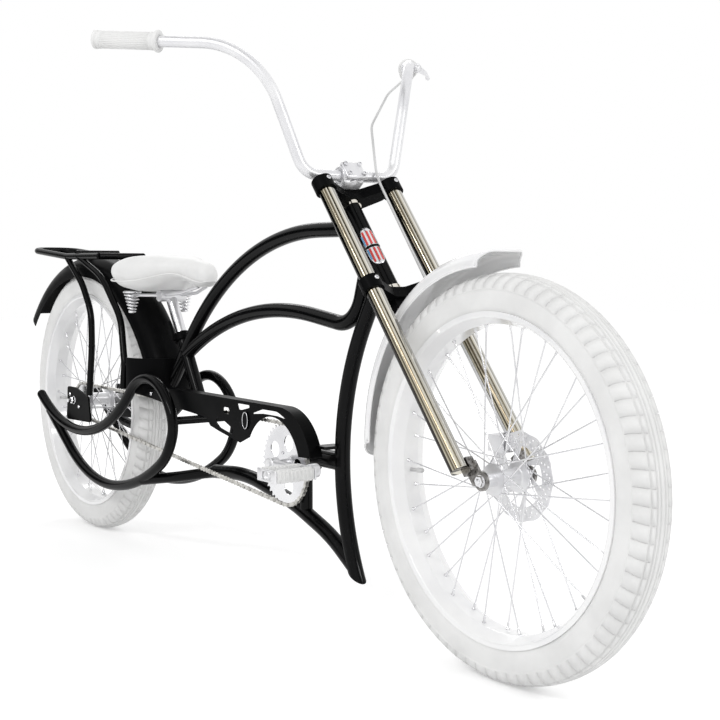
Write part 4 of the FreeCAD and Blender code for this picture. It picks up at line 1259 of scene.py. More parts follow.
@dataclass(frozen=True)
class SaddleSprings:
    """Two conical coil springs with their seats, under the saddle's rear corners.

    Attributes:
        centre: Foot of the right spring.
        low: Lower radius of the coil.
        high: Upper radius of the coil.
        tall: Height of the coil.
        turns: Turns of wire.
        wire: Radius of the wire.
    """

    centre: Vector = Vector((-0.058, -0.072, -0.139))
    low: float = 0.0075
    high: float = 0.0195
    tall: float = 0.048
    turns: float = 6.0
    wire: float = 0.0021

    def build(self, wardrobe: Wardrobe) -> None:
        """Wind both coils with a Geometry Nodes tree and make them one mesh."""
        values = {"Low Radius": self.low, "High Radius": self.high, "Height": self.tall,
                  "Turns": self.turns, "Wire Radius": self.wire}
        tree, given, result, sockets = new_group(
            "GeometryNodeTree", "conical_coil",
            [(label, "Float", value) for label, value in values.items()]
            + [("Finish", "Material", None)], [("Geometry", "Geometry")])
        values["Finish"] = wardrobe["bright_steel"]
        coil = node(tree, "GeometryNodeCurveSpiral",
                    {"Resolution": 20, "Start Radius": given["Low Radius"],
                     "End Radius": given["High Radius"], "Height": given["Height"],
                     "Rotations": given["Turns"]})
        ring = node(tree, "GeometryNodeCurvePrimitiveCircle",
                    {"Resolution": 8, "Radius": given["Wire Radius"]})
        sweep = node(tree, "GeometryNodeCurveToMesh",
                     {"Fill Caps": True, "Curve": coil.outputs["Curve"],
                      "Profile Curve": ring.outputs["Curve"]})
        real = node(tree, "GeometryNodeRealizeInstances", {"Geometry": sweep.outputs["Mesh"]})
        feed(tree, result, {"Geometry": painted(tree, real.outputs["Geometry"],
                                                given["Finish"])})
        carrier = linked("coil_carrier", bpy.data.meshes.new("coil_carrier"))
        wound = clean(realized(carrier, tree, {sockets[label]: value
                                               for label, value in values.items()}))
        top = self.tall
        seat = turned_solid("spring_seat", [
            (0.0215, top - 0.001), (0.0225, top), (0.0225, top + 0.003),
            (0.0200, top + 0.0045)], 24)
        foot = turned_solid("spring_foot", [
            (0.0050, -0.0020), (0.0095, -0.0010), (0.0095, 0.0022), (0.0045, 0.0045),
            (0.0045, 0.0090)], 16)
        parts = [(part, Matrix.Translation(to_side(self.centre, side)))
                 for side in (1.0, -1.0) for part in (wound, seat, foot)]
        item = assembled("saddle_coils", parts, wardrobe["bright_steel"])
        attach(item, "frame")
        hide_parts("saddle_springs")


@dataclass(frozen=True)
class Grips:
    """Two sleeves with rings at their ends and fine ribs along them.

    Attributes:
        outer: Outer end of the left grip.
        along: Direction of the left grip towards the stem.
        length: Length of a sleeve.
        radius: Radius of a sleeve.
        ribs: Ribs round a sleeve.
    """

    outer: Vector
    along: Vector
    length: float = 0.136
    radius: float = 0.0166
    ribs: int = 30

    def sleeve(self) -> Mesh:
        """Sleeve with its end rings along Z."""
        bore, r, end = 0.0113, self.radius, self.length
        rows = [(bore, 0.0), (0.0165, 0.0), (0.0182, 0.0012), (0.0186, 0.0036),
                (0.0182, 0.0064), (r, 0.0074), (r, 0.0105), (0.0176, 0.0115),
                (0.0176, 0.0140), (r, 0.0152), (r, end - 0.012), (0.0178, end - 0.011),
                (0.0178, end - 0.008), (0.0172, end - 0.006), (0.0206, end - 0.001),
                (0.0219, end + 0.0015), (0.0219, end + 0.0042), (0.0205, end + 0.0059),
                (bore, end + 0.0060)]
        return turned_ring("grip_sleeve", rows, 40)

    def build(self, repeater: Repeater, wardrobe: Wardrobe) -> None:
        """Make both grips and their ribs."""
        sleeves, spots = [], []
        for side in (1.0, -1.0):
            start = to_side(self.outer, side)
            along = to_side(self.along, side).normalized()
            move = frame_at(start, along, UP)
            sleeves.append((self.sleeve(), move))
            for number in range(self.ribs):
                turn = Matrix.Rotation(math.tau * number / self.ribs, 4, along)
                out = turn @ (move.to_3x3() @ AHEAD)
                middle = start + along * (0.5 * self.length + 0.002) + out * self.radius
                spots.append(Spot(middle, out, along))
        body = assembled("grip_sleeves", sleeves, wardrobe["white_rubber"])
        rib = soft_block("grip_rib", Vector((0.104, 0.0019, 0.0016)), 0.0006, 1)
        ribs = repeater.spread("grip_ribs", rib, spots, wardrobe["white_rubber"])
        for item in (body, ribs):
            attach(item, "fork")
            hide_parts("grips")


@dataclass(frozen=True)
class BrakeLever:
    """Lever on the left of the handlebar: its clamp, its body, a tapered blade and a pin.

    Attributes:
        mount: Middle of the clamp on the bar.
        along: Direction of the bar towards the stem.
        tip: End of the blade.
        pivot: Clamp to the blade's pin.
        exit: Clamp to the hose's nut.
    """

    mount: Vector
    along: Vector
    tip: Vector
    pivot: float = 0.034
    exit: float = 0.024

    def blade(self, pivot: Vector) -> Mesh:
        """Flat blade that narrows and bends towards its knobbed end."""
        run = self.tip - pivot
        side = run.normalized().cross(UP).normalized()
        rings = []
        rows = [(0.0, 0.0062, 0.0045, 0.0), (0.10, 0.0072, 0.0048, 0.0),
                (0.30, 0.0068, 0.0042, 0.004), (0.55, 0.0058, 0.0036, 0.0055),
                (0.78, 0.0046, 0.0032, 0.0035), (0.90, 0.0040, 0.0034, 0.0010),
                (0.95, 0.0050, 0.0048, 0.0), (1.0, 0.0048, 0.0046, 0.0),
                (1.02, 0.0030, 0.0030, 0.0)]
        for share, tall, wide, bow in rows:
            centre = pivot + run * share + side * bow
            rings.append([centre + side * (wide * c) + UP * (tall * s)
                          for c, s in circle(12)])
        return lofted("lever_blade", rings)

    def build(self, wardrobe: Wardrobe) -> None:
        """Make the lever in one piece."""
        forward = Vector((1.0, 0.0, -0.12)).normalized()
        ring = turned_ring("lever_clamp", [
            (0.0113, -0.008), (0.0150, -0.008), (0.0160, -0.006), (0.0160, 0.006),
            (0.0150, 0.008), (0.0113, 0.008)], 32)
        body = turned_solid("lever_body", [
            (0.0080, 0.013), (0.0086, 0.018), (0.0090, 0.026), (0.0086, 0.034), (0.0070, 0.039),
            (0.0, 0.040)], 24)
        pivot = self.mount + forward * self.pivot
        pin = turned_solid("lever_pin", [
            (0.0, -0.0105), (0.0036, -0.0100), (0.0040, -0.0085), (0.0040, 0.0085),
            (0.0036, 0.0100), (0.0, 0.0105)],
                           14)
        nut = turned_solid("hose_nut", [
            (0.0040, 0.0), (0.0042, 0.008), (0.0034, 0.010), (0.0030, 0.013), (0.0, 0.0135)], 12)
        hose = Vector((0.11, -0.81, -0.58)).normalized()
        parts = [(ring, frame_at(self.mount, self.along, UP)),
                 (body, frame_at(self.mount, forward, UP)),
                 (pin, frame_at(pivot, UP, forward)),
                 (nut, frame_at(self.mount + forward * self.exit + hose * 0.003, hose, UP)),
                 (self.blade(pivot), STILL)]
        item = assembled("lever_set", parts, wardrobe["pale_alloy"])
        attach(item, "fork")
        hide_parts("brake_lever")


@dataclass(frozen=True)
class Pedal:
    """Block pedal: a barrel, two end plates and two ribbed rubber treads.

    Attributes:
        name: right or left.
        centre: Middle of the pedal.
        long: Its length along the axle.
        deep: From front to rear.
        tall: Its height.
        gap: Half of the space between the cheeks of a plate.
        tread: Middle of a tread ahead of the axle.
        ribs: Ribs on each face of a tread.
        rib_step: Distance between ribs.
    """

    name: str
    centre: Vector
    long: float = 0.094
    deep: float = 0.068
    tall: float = 0.026
    gap: float = 0.016
    tread: float = 0.0235
    ribs: int = 9
    rib_step: float = 0.0088

    def build(self, repeater: Repeater, wardrobe: Wardrobe) -> None:
        """Make the pedal and its treads."""
        end = 0.5 * self.long
        barrel = turned_ring("pedal_barrel", [
            (0.0064, -end), (0.0105, -end), (0.0105, -end + 0.012), (0.0088, -end + 0.016),
            (0.0088, end - 0.016), (0.0105, end - 0.012), (0.0105, end), (0.0064, end)], 28)
        cheek = 0.5 * self.deep - self.gap
        bar = soft_block("pedal_cheek", Vector((cheek, self.tall - 0.001, 0.0038)), 0.0016)
        bridge = soft_block("pedal_bridge", Vector((0.036, 0.0055, 0.0036)), 0.0014)
        parts = [(barrel, frame_at(self.centre, LEFT, AHEAD))]
        for side in (-1.0, 1.0):
            place = self.centre + LEFT * (side * (end - 0.002))
            parts += [(bar, frame_at(place + AHEAD * (way * (self.gap + 0.5 * cheek)),
                                     LEFT, AHEAD)) for way in (-1.0, 1.0)]
            parts += [(bridge, frame_at(place + UP * level, LEFT, AHEAD))
                      for level in (-0.0098, 0.0098)]
        metal = assembled("pedal_cage_" + self.name, parts, wardrobe["pale_alloy"])
        block = soft_block("pedal_tread", Vector((0.020, self.long - 0.009, self.tall - 0.004)),
                           0.0030, 3)
        ways = (-self.tread, self.tread)
        rubbers = [(block, Matrix.Translation(self.centre + AHEAD * way)) for way in ways]
        soft = assembled("pedal_treads_" + self.name, rubbers, wardrobe["white_rubber"])
        spots = []
        steps = [(number - self.ribs // 2) * self.rib_step for number in range(self.ribs)]
        for way in ways:
            for level in (-1.0, 1.0):
                rise = level * (0.5 * self.tall - 0.002)
                spots += [Spot(self.centre + Vector((way, step, rise)), UP * level, AHEAD)
                          for step in steps]
            outward = AHEAD * math.copysign(1.0, way)
            spots += [Spot(self.centre + Vector((way, step, 0.0)) + outward * 0.0098,
                           outward, UP) for step in steps]
        rib = soft_block("tread_rib", Vector((0.0176, 0.0046, 0.0036)), 0.0010, 1)
        ribs = repeater.spread("pedal_ribs_" + self.name, rib, spots,
                               wardrobe["white_rubber"])
        for item, slot in ((metal, "pale_metal"), (soft, "pale_rubber"),
                           (ribs, "pale_rubber")):
            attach(item, self.name + "_pedal")
            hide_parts("pedal_" + self.name)


class Bolts:
    """Small bolts of the crowns, clamp, caliper, fender, dropouts, guard and both rings."""

    # lead, side and level of the bolts in both crowns and in the stem clamp
    crowns = [(0.0640, 0.0804, level) for level in (0.8422, 1.0868)]
    clamp = [(0.058, 0.017, level) for level in (1.108, 1.133)]
    fender = (0.014, 0.0, 0.800)
    dropouts = ((-0.384, -0.402), (-0.440, -0.372))
    dropout_side = 0.0735
    # place of the caliper's two bolts from the front axle, and half their distance
    caliper = Vector((-0.040, 0.046, 0.051))
    caliper_half = 0.009
    # bolts of the disc and the chainring: count, first angle, radius of their circle, side
    disc = (6, 0.0, 0.0172, 0.0352)
    ring = (5, 36.0, 0.0245, -0.0482)
    # radius and height of a head
    small = (0.0032, 0.0022)
    large = (0.0046, 0.0036)

    @staticmethod
    def round_axle(axle: Vector, count: int, start: float, reach: float,
                   side: float) -> list[Vector]:
        """Places of bolts on a circle about a wheel's or the crank's axis."""
        places = []
        for number in range(count):
            out = spoke_way(math.radians(360.0 / count * number + start))
            places.append(axle + out * reach + LEFT * side)
        return places

    def spots(self) -> dict[str, list[tuple[Vector, Vector]]]:
        """Seat and direction of each bolt, by the body that carries it."""
        fork = [(on_axis(lead, sign * side, level), AXIS_AHEAD)
                for lead, side, level in self.crowns + self.clamp for sign in (-1.0, 1.0)]
        fork.append((on_axis(*self.fender), AXIS_AHEAD))
        fork += [(FRONT_AXLE + self.caliper + UP * (sign * self.caliper_half), AHEAD)
                 for sign in (-1.0, 1.0)]
        frame = [(Vector((x, sign * self.dropout_side, z)), LEFT * sign)
                 for sign in (-1.0, 1.0) for x, z in self.dropouts]
        frame += [(Vector((x, GUARD_FACE, z)), -LEFT) for x, z in GUARD_BOLTS]
        return {"fork": fork, "frame": frame,
                "front_wheel": [(place, LEFT) for place in self.round_axle(FRONT_AXLE,
                                                                           *self.disc)],
                "crankset": [(place, -LEFT) for place in self.round_axle(CRANK_AXIS,
                                                                         *self.ring)]}

    def build(self, repeater: Repeater, wardrobe: Wardrobe) -> None:
        """Make the bolts of each body."""
        for body, seats in self.spots().items():
            size = self.small if body in ("front_wheel", "crankset") else self.large
            head = hex_socket_bolt(*size)
            spots = [Spot(place, way, Vector((0.3, 0.2, 1.0))) for place, way in seats]
            item = repeater.spread("bolts_" + body, head, spots, wardrobe["bright_steel"],
                                   smooth=False)
            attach(item, body)


@dataclass(frozen=True)
class HeadPlate:
    """Plain enamelled plate bent round the head tube.

    Attributes:
        radius: Radius of the head tube.
        turn: How far the plate faces to the right of straight ahead, in radians.
        middle: Its middle up along the steering axis.
        tall: Its length.
        half_angle: Half of what it covers round the tube, in radians.
        rows: Faces along the plate.
        columns: Faces across it.
        gap: Gap between the tube and the plate.
        sheet: Thickness of the plate.
        enamel: Thickness of the enamel bands.
        belt: Thickness of the black band.
    """

    radius: float = 0.018
    turn: float = math.radians(24.0)
    middle: float = 0.959
    tall: float = 0.090
    half_angle: float = math.radians(52.0)
    rows: int = 20
    columns: int = 10
    gap: float = 0.0001
    sheet: float = 0.0010
    enamel: float = 0.0004
    belt: float = 0.0006

    def patch(self, name: str, lift: float, thick: float, height: tuple[float, float],
              width: tuple[float, float], lens: bool = False) -> Mesh:
        """Curved sheet on the tube.

        Args:
            name: Name of the mesh.
            lift: Height of its inner face over the tube.
            thick: Thickness of the sheet.
            height: Its lower and upper end, as shares of half the length.
            width: Its left and right edge, as shares of half the width.
            lens: Whether the sheet narrows to rounded points at its ends.

        Returns:
            The mesh.
        """
        (low, high), (left, right) = height, width
        rows, columns = self.rows, self.columns
        layers = []
        for reach in (self.radius + lift, self.radius + lift + thick):
            grid = []
            for row in range(rows + 1):
                level = low + (high - low) * row / rows
                wide = math.sqrt(max(0.0, 1.0 - abs(level) ** 3.0)) if lens else 1.0
                for column in range(columns + 1):
                    share = left + (right - left) * column / columns
                    angle = share * wide * self.half_angle - self.turn
                    grid.append(on_axis(reach * math.cos(angle), reach * math.sin(angle),
                                        self.middle + 0.5 * self.tall * level))
            layers.append(grid)
        total = len(layers[0])
        faces: list[Face] = []
        wide_count = columns + 1
        for row in range(rows):
            for column in range(columns):
                i = row * wide_count + column
                quad = (i, i + 1, i + 1 + wide_count, i + wide_count)
                faces.append(quad)
                faces.append(tuple(total + corner for corner in reversed(quad)))
        rim = list(range(columns))
        rim += [row * wide_count + columns for row in range(rows)]
        rim += [rows * wide_count + column for column in range(columns, 0, -1)]
        rim += [row * wide_count for row in range(rows, 0, -1)]
        for i, corner in enumerate(rim):
            after = rim[(i + 1) % len(rim)]
            faces.append((corner, after, total + after, total + corner))
        return mesh_of(name, layers[0] + layers[1], faces)

    def build(self, wardrobe: Wardrobe) -> None:
        """Make the plate with its enamel bands."""
        base = object_of("head_plate", self.patch("head_plate", self.gap, self.sheet,
                                                  (-0.97, 0.97), (-1.0, 1.0), lens=True),
                         wardrobe["bright_steel"])
        lift = self.sheet + self.gap
        bands = [self.patch("band", lift, self.enamel, height, (left, left + 0.25))
                 for height in ((0.10, 0.80), (-0.80, -0.10)) for left in (-0.62, -0.12, 0.38)]
        red = assembled("head_plate_stripes", [(mesh, STILL) for mesh in bands],
                        wardrobe["red_enamel"])
        edges = [self.patch("edge", lift, self.enamel, height, (-0.86, -0.68))
                 for height in ((0.10, 0.62), (-0.62, -0.10))]
        blue = assembled("head_plate_edges", [(mesh, STILL) for mesh in edges],
                         wardrobe["blue_enamel"])
        belt = object_of("head_plate_belt",
                         self.patch("belt", lift, self.belt, (-0.055, 0.055), (-0.96, 0.96)),
                         wardrobe["gloss_black_paint"])
        for item in (base, red, blue, belt):
            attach(item, "frame")


def bent_wire(name: str, path: list[Vector], radius: float, sides: int = 8,
              closed: bool = False) -> Mesh:
    """Round wire along a path.

    Args:
        name: Name of the mesh.
        path: Points of its middle line.
        radius: Radius of the wire.
        sides: Sides round it.
        closed: Whether the last point joins the first.

    Returns:
        The mesh.
    """
    points: list[Vector] = []
    total = len(path)
    across = None
    for number, place in enumerate(path):
        before = path[(number - 1) % total] if closed or number else place
        after = path[(number + 1) % total] if closed or number < total - 1 else place
        along = (after - before).normalized()
        if across is None:
            across = along.orthogonal().normalized()
        across = (across - along * across.dot(along)).normalized()
        other = along.cross(across)
        points += [place + (across * c + other * s) * radius for c, s in circle(sides)]
    faces = skin_faces(total, sides, closed)
    if not closed:
        faces += [tuple(row * sides + side for side in range(sides))
                  for row in (0, total - 1)]
    return mesh_of(name, points, faces)


def cut_plate(name: str, outlines: list[Outline],
              thick: float) -> Mesh:
    """Flat plate with openings, about the plane of X and Y.

    Args:
        name: Name of the mesh.
        outlines: Outer outline first, then the openings.
        thick: Thickness.

    Returns:
        The mesh.
    """
    curve = bpy.data.curves.new(name, "CURVE")
    curve.dimensions = "2D"
    curve.fill_mode = "BOTH"
    curve.extrude = 0.5 * thick
    for outline in outlines:
        spline = curve.splines.new("POLY")
        spline.points.add(len(outline) - 1)
        for point, (x, y) in zip(spline.points, outline):
            point.co = (x, y, 0.0, 1.0)
        spline.use_cyclic_u = True
    item = linked(name, curve)
    mesh = evaluated(item)
    bpy.data.objects.remove(item)
    bpy.data.curves.remove(curve)
    return clean(mesh)


def round_outline(radius: float, count: int, centre: tuple[float, float] = (0.0, 0.0),
                  wave: float = 0.0, waves: int = 0) -> Outline:
    """Round or wavy outline in the plane of X and Y."""
    outline = []
    for number in range(count):
        angle = math.tau * number / count
        reach = radius + wave * math.cos(waves * angle)
        outline.append((centre[0] + reach * math.cos(angle), centre[1] + reach * math.sin(angle)))
    return outline


@dataclass(frozen=True)
class BrakeRotor:
    """Drilled brake disc on six arms, with its carrier ring.

    Attributes:
        level: Middle of the disc to the left of the wheel's middle plane.
        thick: Thickness of the disc.
        outer: Outer radius.
        bore: Radius of the bore.
        arms: Arms from the carrier to the braking ring.
        arm_half: Half of an arm's width, in radians.
        window: Inner and outer radius of the openings between arms.
        lean: How far an arm slants, in radians.
        holes: Holes in each row of the braking ring.
        hole: Radius of a hole.
        hole_rows: Radius of each row of holes.
    """

    level: float = 0.0341
    thick: float = 0.0020
    outer: float = 0.0786
    bore: float = 0.0128
    arms: int = 6
    arm_half: float = 0.13
    window: tuple[float, float] = (0.0265, 0.0535)
    lean: float = 0.42
    holes: int = 24
    hole: float = 0.0021
    hole_rows: tuple[float, ...] = (0.0595, 0.0657, 0.0719)

    def opening(self, number: int) -> Outline:
        """Opening between two slanted arms."""
        step = math.tau / self.arms
        start, end = number * step + self.arm_half, (number + 1) * step - self.arm_half
        (low, high), lean = self.window, self.lean
        outline = []
        for reach, first, last in ((low, start, end), (high, end + lean, start + lean)):
            for part in range(9):
                angle = first + (last - first) * part / 8.0
                outline.append((reach * math.cos(angle), reach * math.sin(angle)))
        return outline

    def build(self, wardrobe: Wardrobe) -> None:
        """Make the disc and its carrier."""
        outlines = [round_outline(self.outer, 180, wave=0.0012, waves=12),
                    round_outline(self.bore, 40)]
        outlines += [self.opening(number) for number in range(self.arms)]
        for number in range(self.holes):
            for row, reach in enumerate(self.hole_rows):
                angle = math.tau * (number + 0.33 * row) / self.holes
                centre = (reach * math.cos(angle), reach * math.sin(angle))
                outlines.append(round_outline(self.hole, 10, centre))
        sheet = cut_plate("rotor_sheet", outlines, self.thick)
        move = frame_at(FRONT_AXLE + LEFT * self.level, LEFT, AHEAD)
        carrier = turned_ring("rotor_carrier", [
            (0.0130, 0.0004), (0.0225, 0.0004), (0.0225, 0.0016), (0.0215, 0.0022),
            (0.0130, 0.0022)], 48)
        item = assembled("drilled_disc", [(sheet, move), (carrier, move)],
                         wardrobe["pale_alloy"], smooth=False)
        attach(item, "front_wheel")
        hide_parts("brake_disc")


@dataclass(frozen=True)
class StemClamp:
    """Clamp of the handlebar: a block, a barrel round the bar and a face plate.

    Attributes:
        lead: Middle of the bar ahead of the steering axis.
        level: Middle of the bar up along the axis.
        block: Lead and level of the block's middle.
        face: Lead and level of the face plate's middle.
        foot: Lead and level of the foot.
    """

    lead: float = 0.0343
    level: float = 1.1218
    block: tuple[float, float] = (0.0288, 1.1205)
    face: tuple[float, float] = (0.0515, 1.1205)
    foot: tuple[float, float] = (0.0300, 1.0984)

    def build(self, wardrobe: Wardrobe) -> None:
        """Make the clamp."""
        block = soft_block("clamp_body", Vector((0.0285, 0.048, 0.0430)), 0.0055, 3)
        plate = soft_block("clamp_face", Vector((0.0105, 0.046, 0.0400)), 0.0038, 3)
        barrel = turned_ring("clamp_barrel", [
            (0.0114, -0.0250), (0.0176, -0.0250), (0.0192, -0.0236), (0.0192, 0.0236),
            (0.0176, 0.0250), (0.0114, 0.0250)], 40)
        foot = turned_solid("clamp_foot", [
            (0.0150, 0.0), (0.0160, 0.0010), (0.0150, 0.0060), (0.0120, 0.0080)], 32)
        parts = [(barrel, frame_at(on_axis(self.lead, 0.0, self.level), LEFT, AHEAD))]
        parts += [(mesh, frame_at(on_axis(lead, 0.0, level), AXIS_UP, AXIS_AHEAD))
                  for mesh, (lead, level) in ((block, self.block), (plate, self.face),
                                              (foot, self.foot))]
        item = assembled("stem_clamp", parts, wardrobe["pale_alloy"])
        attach(item, "fork")
        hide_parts("bar_clamp")


@dataclass(frozen=True)
class Cranks:
    """Forged crank arms on their axle, with pedal axles.

    Attributes:
        pedal: Right pedal's axle from the crank's axis.
        inner: Arm's root to the middle plane.
        reach: End of a pedal axle to the middle plane; not used.
    """

    pedal: Vector = Vector((0.170, -0.092, 0.012))
    inner: float = 0.078
    reach: float = 0.192

    def arm(self, root: Vector, end: Vector) -> Mesh:
        """Arm with a flattened section that narrows towards the pedal."""
        along = (end - root).normalized()
        flat = along.cross(LEFT).normalized()
        over = flat.cross(along)
        rings = []
        for share, wide, deep in ((0.0, 0.0135, 0.0080), (0.12, 0.0130, 0.0078),
                                  (0.35, 0.0105, 0.0068), (0.70, 0.0092, 0.0060),
                                  (0.90, 0.0105, 0.0062), (1.0, 0.0115, 0.0064)):
            centre = root + (end - root) * share
            rings.append([centre + flat * (wide * math.copysign(abs(c) ** 0.6, c))
                          + over * (deep * math.copysign(abs(s) ** 0.6, s))
                          for c, s in circle(20)])
        return lofted("crank_arm", rings)

    def build(self, wardrobe: Wardrobe) -> None:
        """Make both arms in one piece with the axle."""
        axle = turned_solid("crank_axle", [
            (0.0095, -0.0840), (0.0110, -0.0825), (0.0110, 0.0825), (0.0095, 0.0840)], 32)
        boss = turned_solid("crank_boss", [
            (0.0160, -0.0100), (0.0170, -0.0090), (0.0170, 0.0075), (0.0158, 0.0095),
            (0.0100, 0.0100), (0.0094, 0.0080), (0.0, 0.0080)], 36)
        eye = turned_solid("crank_eye", [
            (0.0130, -0.0115), (0.0140, -0.0100), (0.0140, 0.0065), (0.0130, 0.0078),
            (0.0072, 0.0080)], 32)
        stub = turned_solid("pedal_axle", [
            (0.0060, 0.0), (0.0060, 0.0975), (0.0048, 0.0995), (0.0, 0.1000)], 20)
        parts = [(axle, frame_at(CRANK_AXIS, LEFT, AHEAD))]
        for sign in (-1.0, 1.0):
            end = CRANK_AXIS + Vector((-sign * self.pedal.x, sign * abs(self.pedal.y),
                                       -sign * self.pedal.z))
            root = CRANK_AXIS + LEFT * (sign * self.inner)
            parts += [(boss, frame_at(root, LEFT * sign, AHEAD)),
                      (eye, frame_at(end, LEFT * sign, AHEAD)),
                      (stub, frame_at(end, LEFT * sign, AHEAD)),
                      (self.arm(root, end - LEFT * (sign * 0.002)), STILL)]
        item = assembled("crank_arms", parts, wardrobe["pale_alloy"])
        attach(item, "crankset")
        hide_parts("crank")


@dataclass(frozen=True)
class WheelAxle:
    """Axle with a washer and a domed six-sided nut at each end.

    Attributes:
        end: front or rear.
        body: Body that carries the axle.
        centre: Wheel's centre.
        reach: Half its length.
        seat: Seat of a nut to the middle plane.
        tall: Height of a nut.
        nut: Radius of a nut.
        washer: Thickness of a washer.
    """

    end: str
    body: str
    centre: Vector
    reach: float
    seat: float
    tall: float
    nut: float = 0.0100
    washer: float = 0.0014

    def build(self, wardrobe: Wardrobe) -> None:
        """Make the axle."""
        bar = turned_solid("axle_bar", [
            (0.0040, -self.reach), (0.0050, -self.reach + 0.001), (0.0050, self.reach - 0.001),
            (0.0040, self.reach)], 20)
        washer = turned_ring("axle_washer", [
            (0.0050, 0.0001), (0.0108, 0.0001), (0.0112, 0.0005), (0.0108, 0.0014),
            (0.0050, 0.0014)], 32)
        nut = hex_nut(self.nut, self.tall)
        parts = [(bar, frame_at(self.centre, LEFT, AHEAD))]
        for sign in (-1.0, 1.0):
            seat = self.centre + LEFT * (sign * self.seat)
            parts += [(washer, frame_at(seat, LEFT * sign, AHEAD)),
                      (nut, frame_at(seat + LEFT * (sign * self.washer), LEFT * sign,
                                     AHEAD))]
        item = assembled(self.end + "_axle_set", parts, wardrobe["bright_steel"], smooth=False)
        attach(item, self.body)
        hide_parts(self.end + "_axle")


@dataclass(frozen=True)
class FrontGuardSheet:
    """Front fender: a crowned sheet with rounded ends and a rolled bead round its edge.

    Attributes:
        centre: Centre of its arc.
        crown: Outer radius in the middle.
        deep: Depth of its sides.
        half: Half its width.
        fold: Radius of its shoulders.
        thick: Thickness of the sheet.
        start: Angle of its front end, in degrees.
        turn: Angle that it covers, in degrees.
        tip: How far its ends are rounded, in degrees.
    """

    centre: Vector = Vector((1.231, 0.0, -0.352))
    crown: float = 0.354
    deep: float = 0.027
    half: float = 0.050
    fold: float = 0.02025
    thick: float = 0.0020
    start: float = 88.5
    turn: float = 97.5
    tip: float = 6.5

    def section(self, inset: float) -> Outline:
        """Radius and side of the points across the sheet, inset from its outer face."""
        side, top, bend = self.half - inset, self.crown - inset, self.fold - inset
        half = [(self.crown - self.deep, side), (self.crown - self.deep + 0.0034, side)]
        for step in range(7):
            angle = math.radians(90.0 * step / 6.0)
            half.append((top - bend * (1.0 - math.sin(angle)),
                         side - bend * (1.0 - math.cos(angle))))
        half += [(top, side * 0.36), (top, side * 0.18)]
        left = half + [(top, 0.0)]
        return left + [(radius, -y) for radius, y in reversed(half)]

    def point(self, radius: float, side: float, share: float) -> Vector:
        """Point of the sheet at a share of its arc, drawn in towards its sides."""
        round_off = self.tip * (1.0 - math.sqrt(max(0.0, 1.0 - abs(side / self.half) ** 2.6)))
        first, last = self.start + round_off, self.start + self.turn - round_off
        way = spoke_way(math.radians(first + (last - first) * share))
        return self.centre + way * radius + LEFT * side

    def build(self, wardrobe: Wardrobe) -> None:
        """Make the sheet and its bead."""
        rows = 72
        outer, inner = self.section(0.0), self.section(self.thick)
        count = len(outer)
        ring = outer + inner[::-1]
        rings = [[self.point(radius, side, row / rows) for radius, side in ring]
                 for row in range(rows + 1)]
        points = [point for line in rings for point in line]
        wide = 2 * count
        faces = skin_faces(rows + 1, wide)
        for first in (0, rows * wide):
            faces += [(first + i, first + i + 1, first + wide - 2 - i, first + wide - 1 - i)
                      for i in range(count - 1)]
        sheet = mesh_of("front_fender_sheet", points, faces)
        middle = [(0.5 * (a + c), 0.5 * (b + d)) for (a, b), (c, d) in zip(outer, inner)]
        rim = [self.point(*middle[0], row / rows) for row in range(rows + 1)]
        rim += [self.point(radius, side, 1.0) for radius, side in middle[1:-1]]
        rim += [self.point(*middle[-1], 1.0 - row / rows) for row in range(rows + 1)]
        rim += [self.point(radius, side, 0.0) for radius, side in reversed(middle[1:-1])]
        bead = bent_wire("front_fender_bead", rim, 0.0021, closed=True)
        item = assembled("front_fender_skin", [(sheet, STILL), (bead, STILL)],
                         wardrobe["white_paint"])
        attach(item, "fork")
        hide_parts("front_fender")


class SmallFittings:
    """Ring of the guard's badge, and the caliper's caps and hose fitting."""

    badge = Vector((0.473, -0.0662, -0.357))
    badge_half = (0.0108, 0.0178)
    piston = Vector((1.167, 0.0640, -0.338))
    hose_nut = Vector((1.176, 0.0546, -0.3235))

    def badge_ring(self, wardrobe: Wardrobe) -> None:
        """Bright ring round the oval badge."""
        wide, tall = self.badge_half
        path = [self.badge + Vector((wide * c, 0.0, tall * s)) for c, s in circle(48)]
        item = object_of("guard_badge_ring", bent_wire("guard_badge_ring", path, 0.0009,
                                                       closed=True), wardrobe["bright_steel"])
        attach(item, "frame")

    def caliper_caps(self, wardrobe: Wardrobe) -> None:
        """Round cap over the piston, and the nut that holds the hose."""
        cap = turned_solid("piston_cap", [
            (0.0110, -0.0004), (0.0110, 0.0020), (0.0102, 0.0028), (0.0060, 0.0028),
            (0.0056, 0.0016), (0.0, 0.0016)], 30)
        nut = turned_solid("caliper_hose_nut", [
            (0.0042, -0.0004), (0.0044, 0.0070), (0.0034, 0.0085), (0.0, 0.0085)], 6)
        parts = [(cap, frame_at(self.piston, LEFT, AHEAD)),
                 (nut, frame_at(self.hose_nut, UP, AHEAD))]
        item = assembled("caliper_fittings", parts, wardrobe["bright_steel"], smooth=False)
        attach(item, "fork")

    def build(self, wardrobe: Wardrobe) -> None:
        """Make the fittings."""
        self.badge_ring(wardrobe)
        self.caliper_caps(wardrobe)


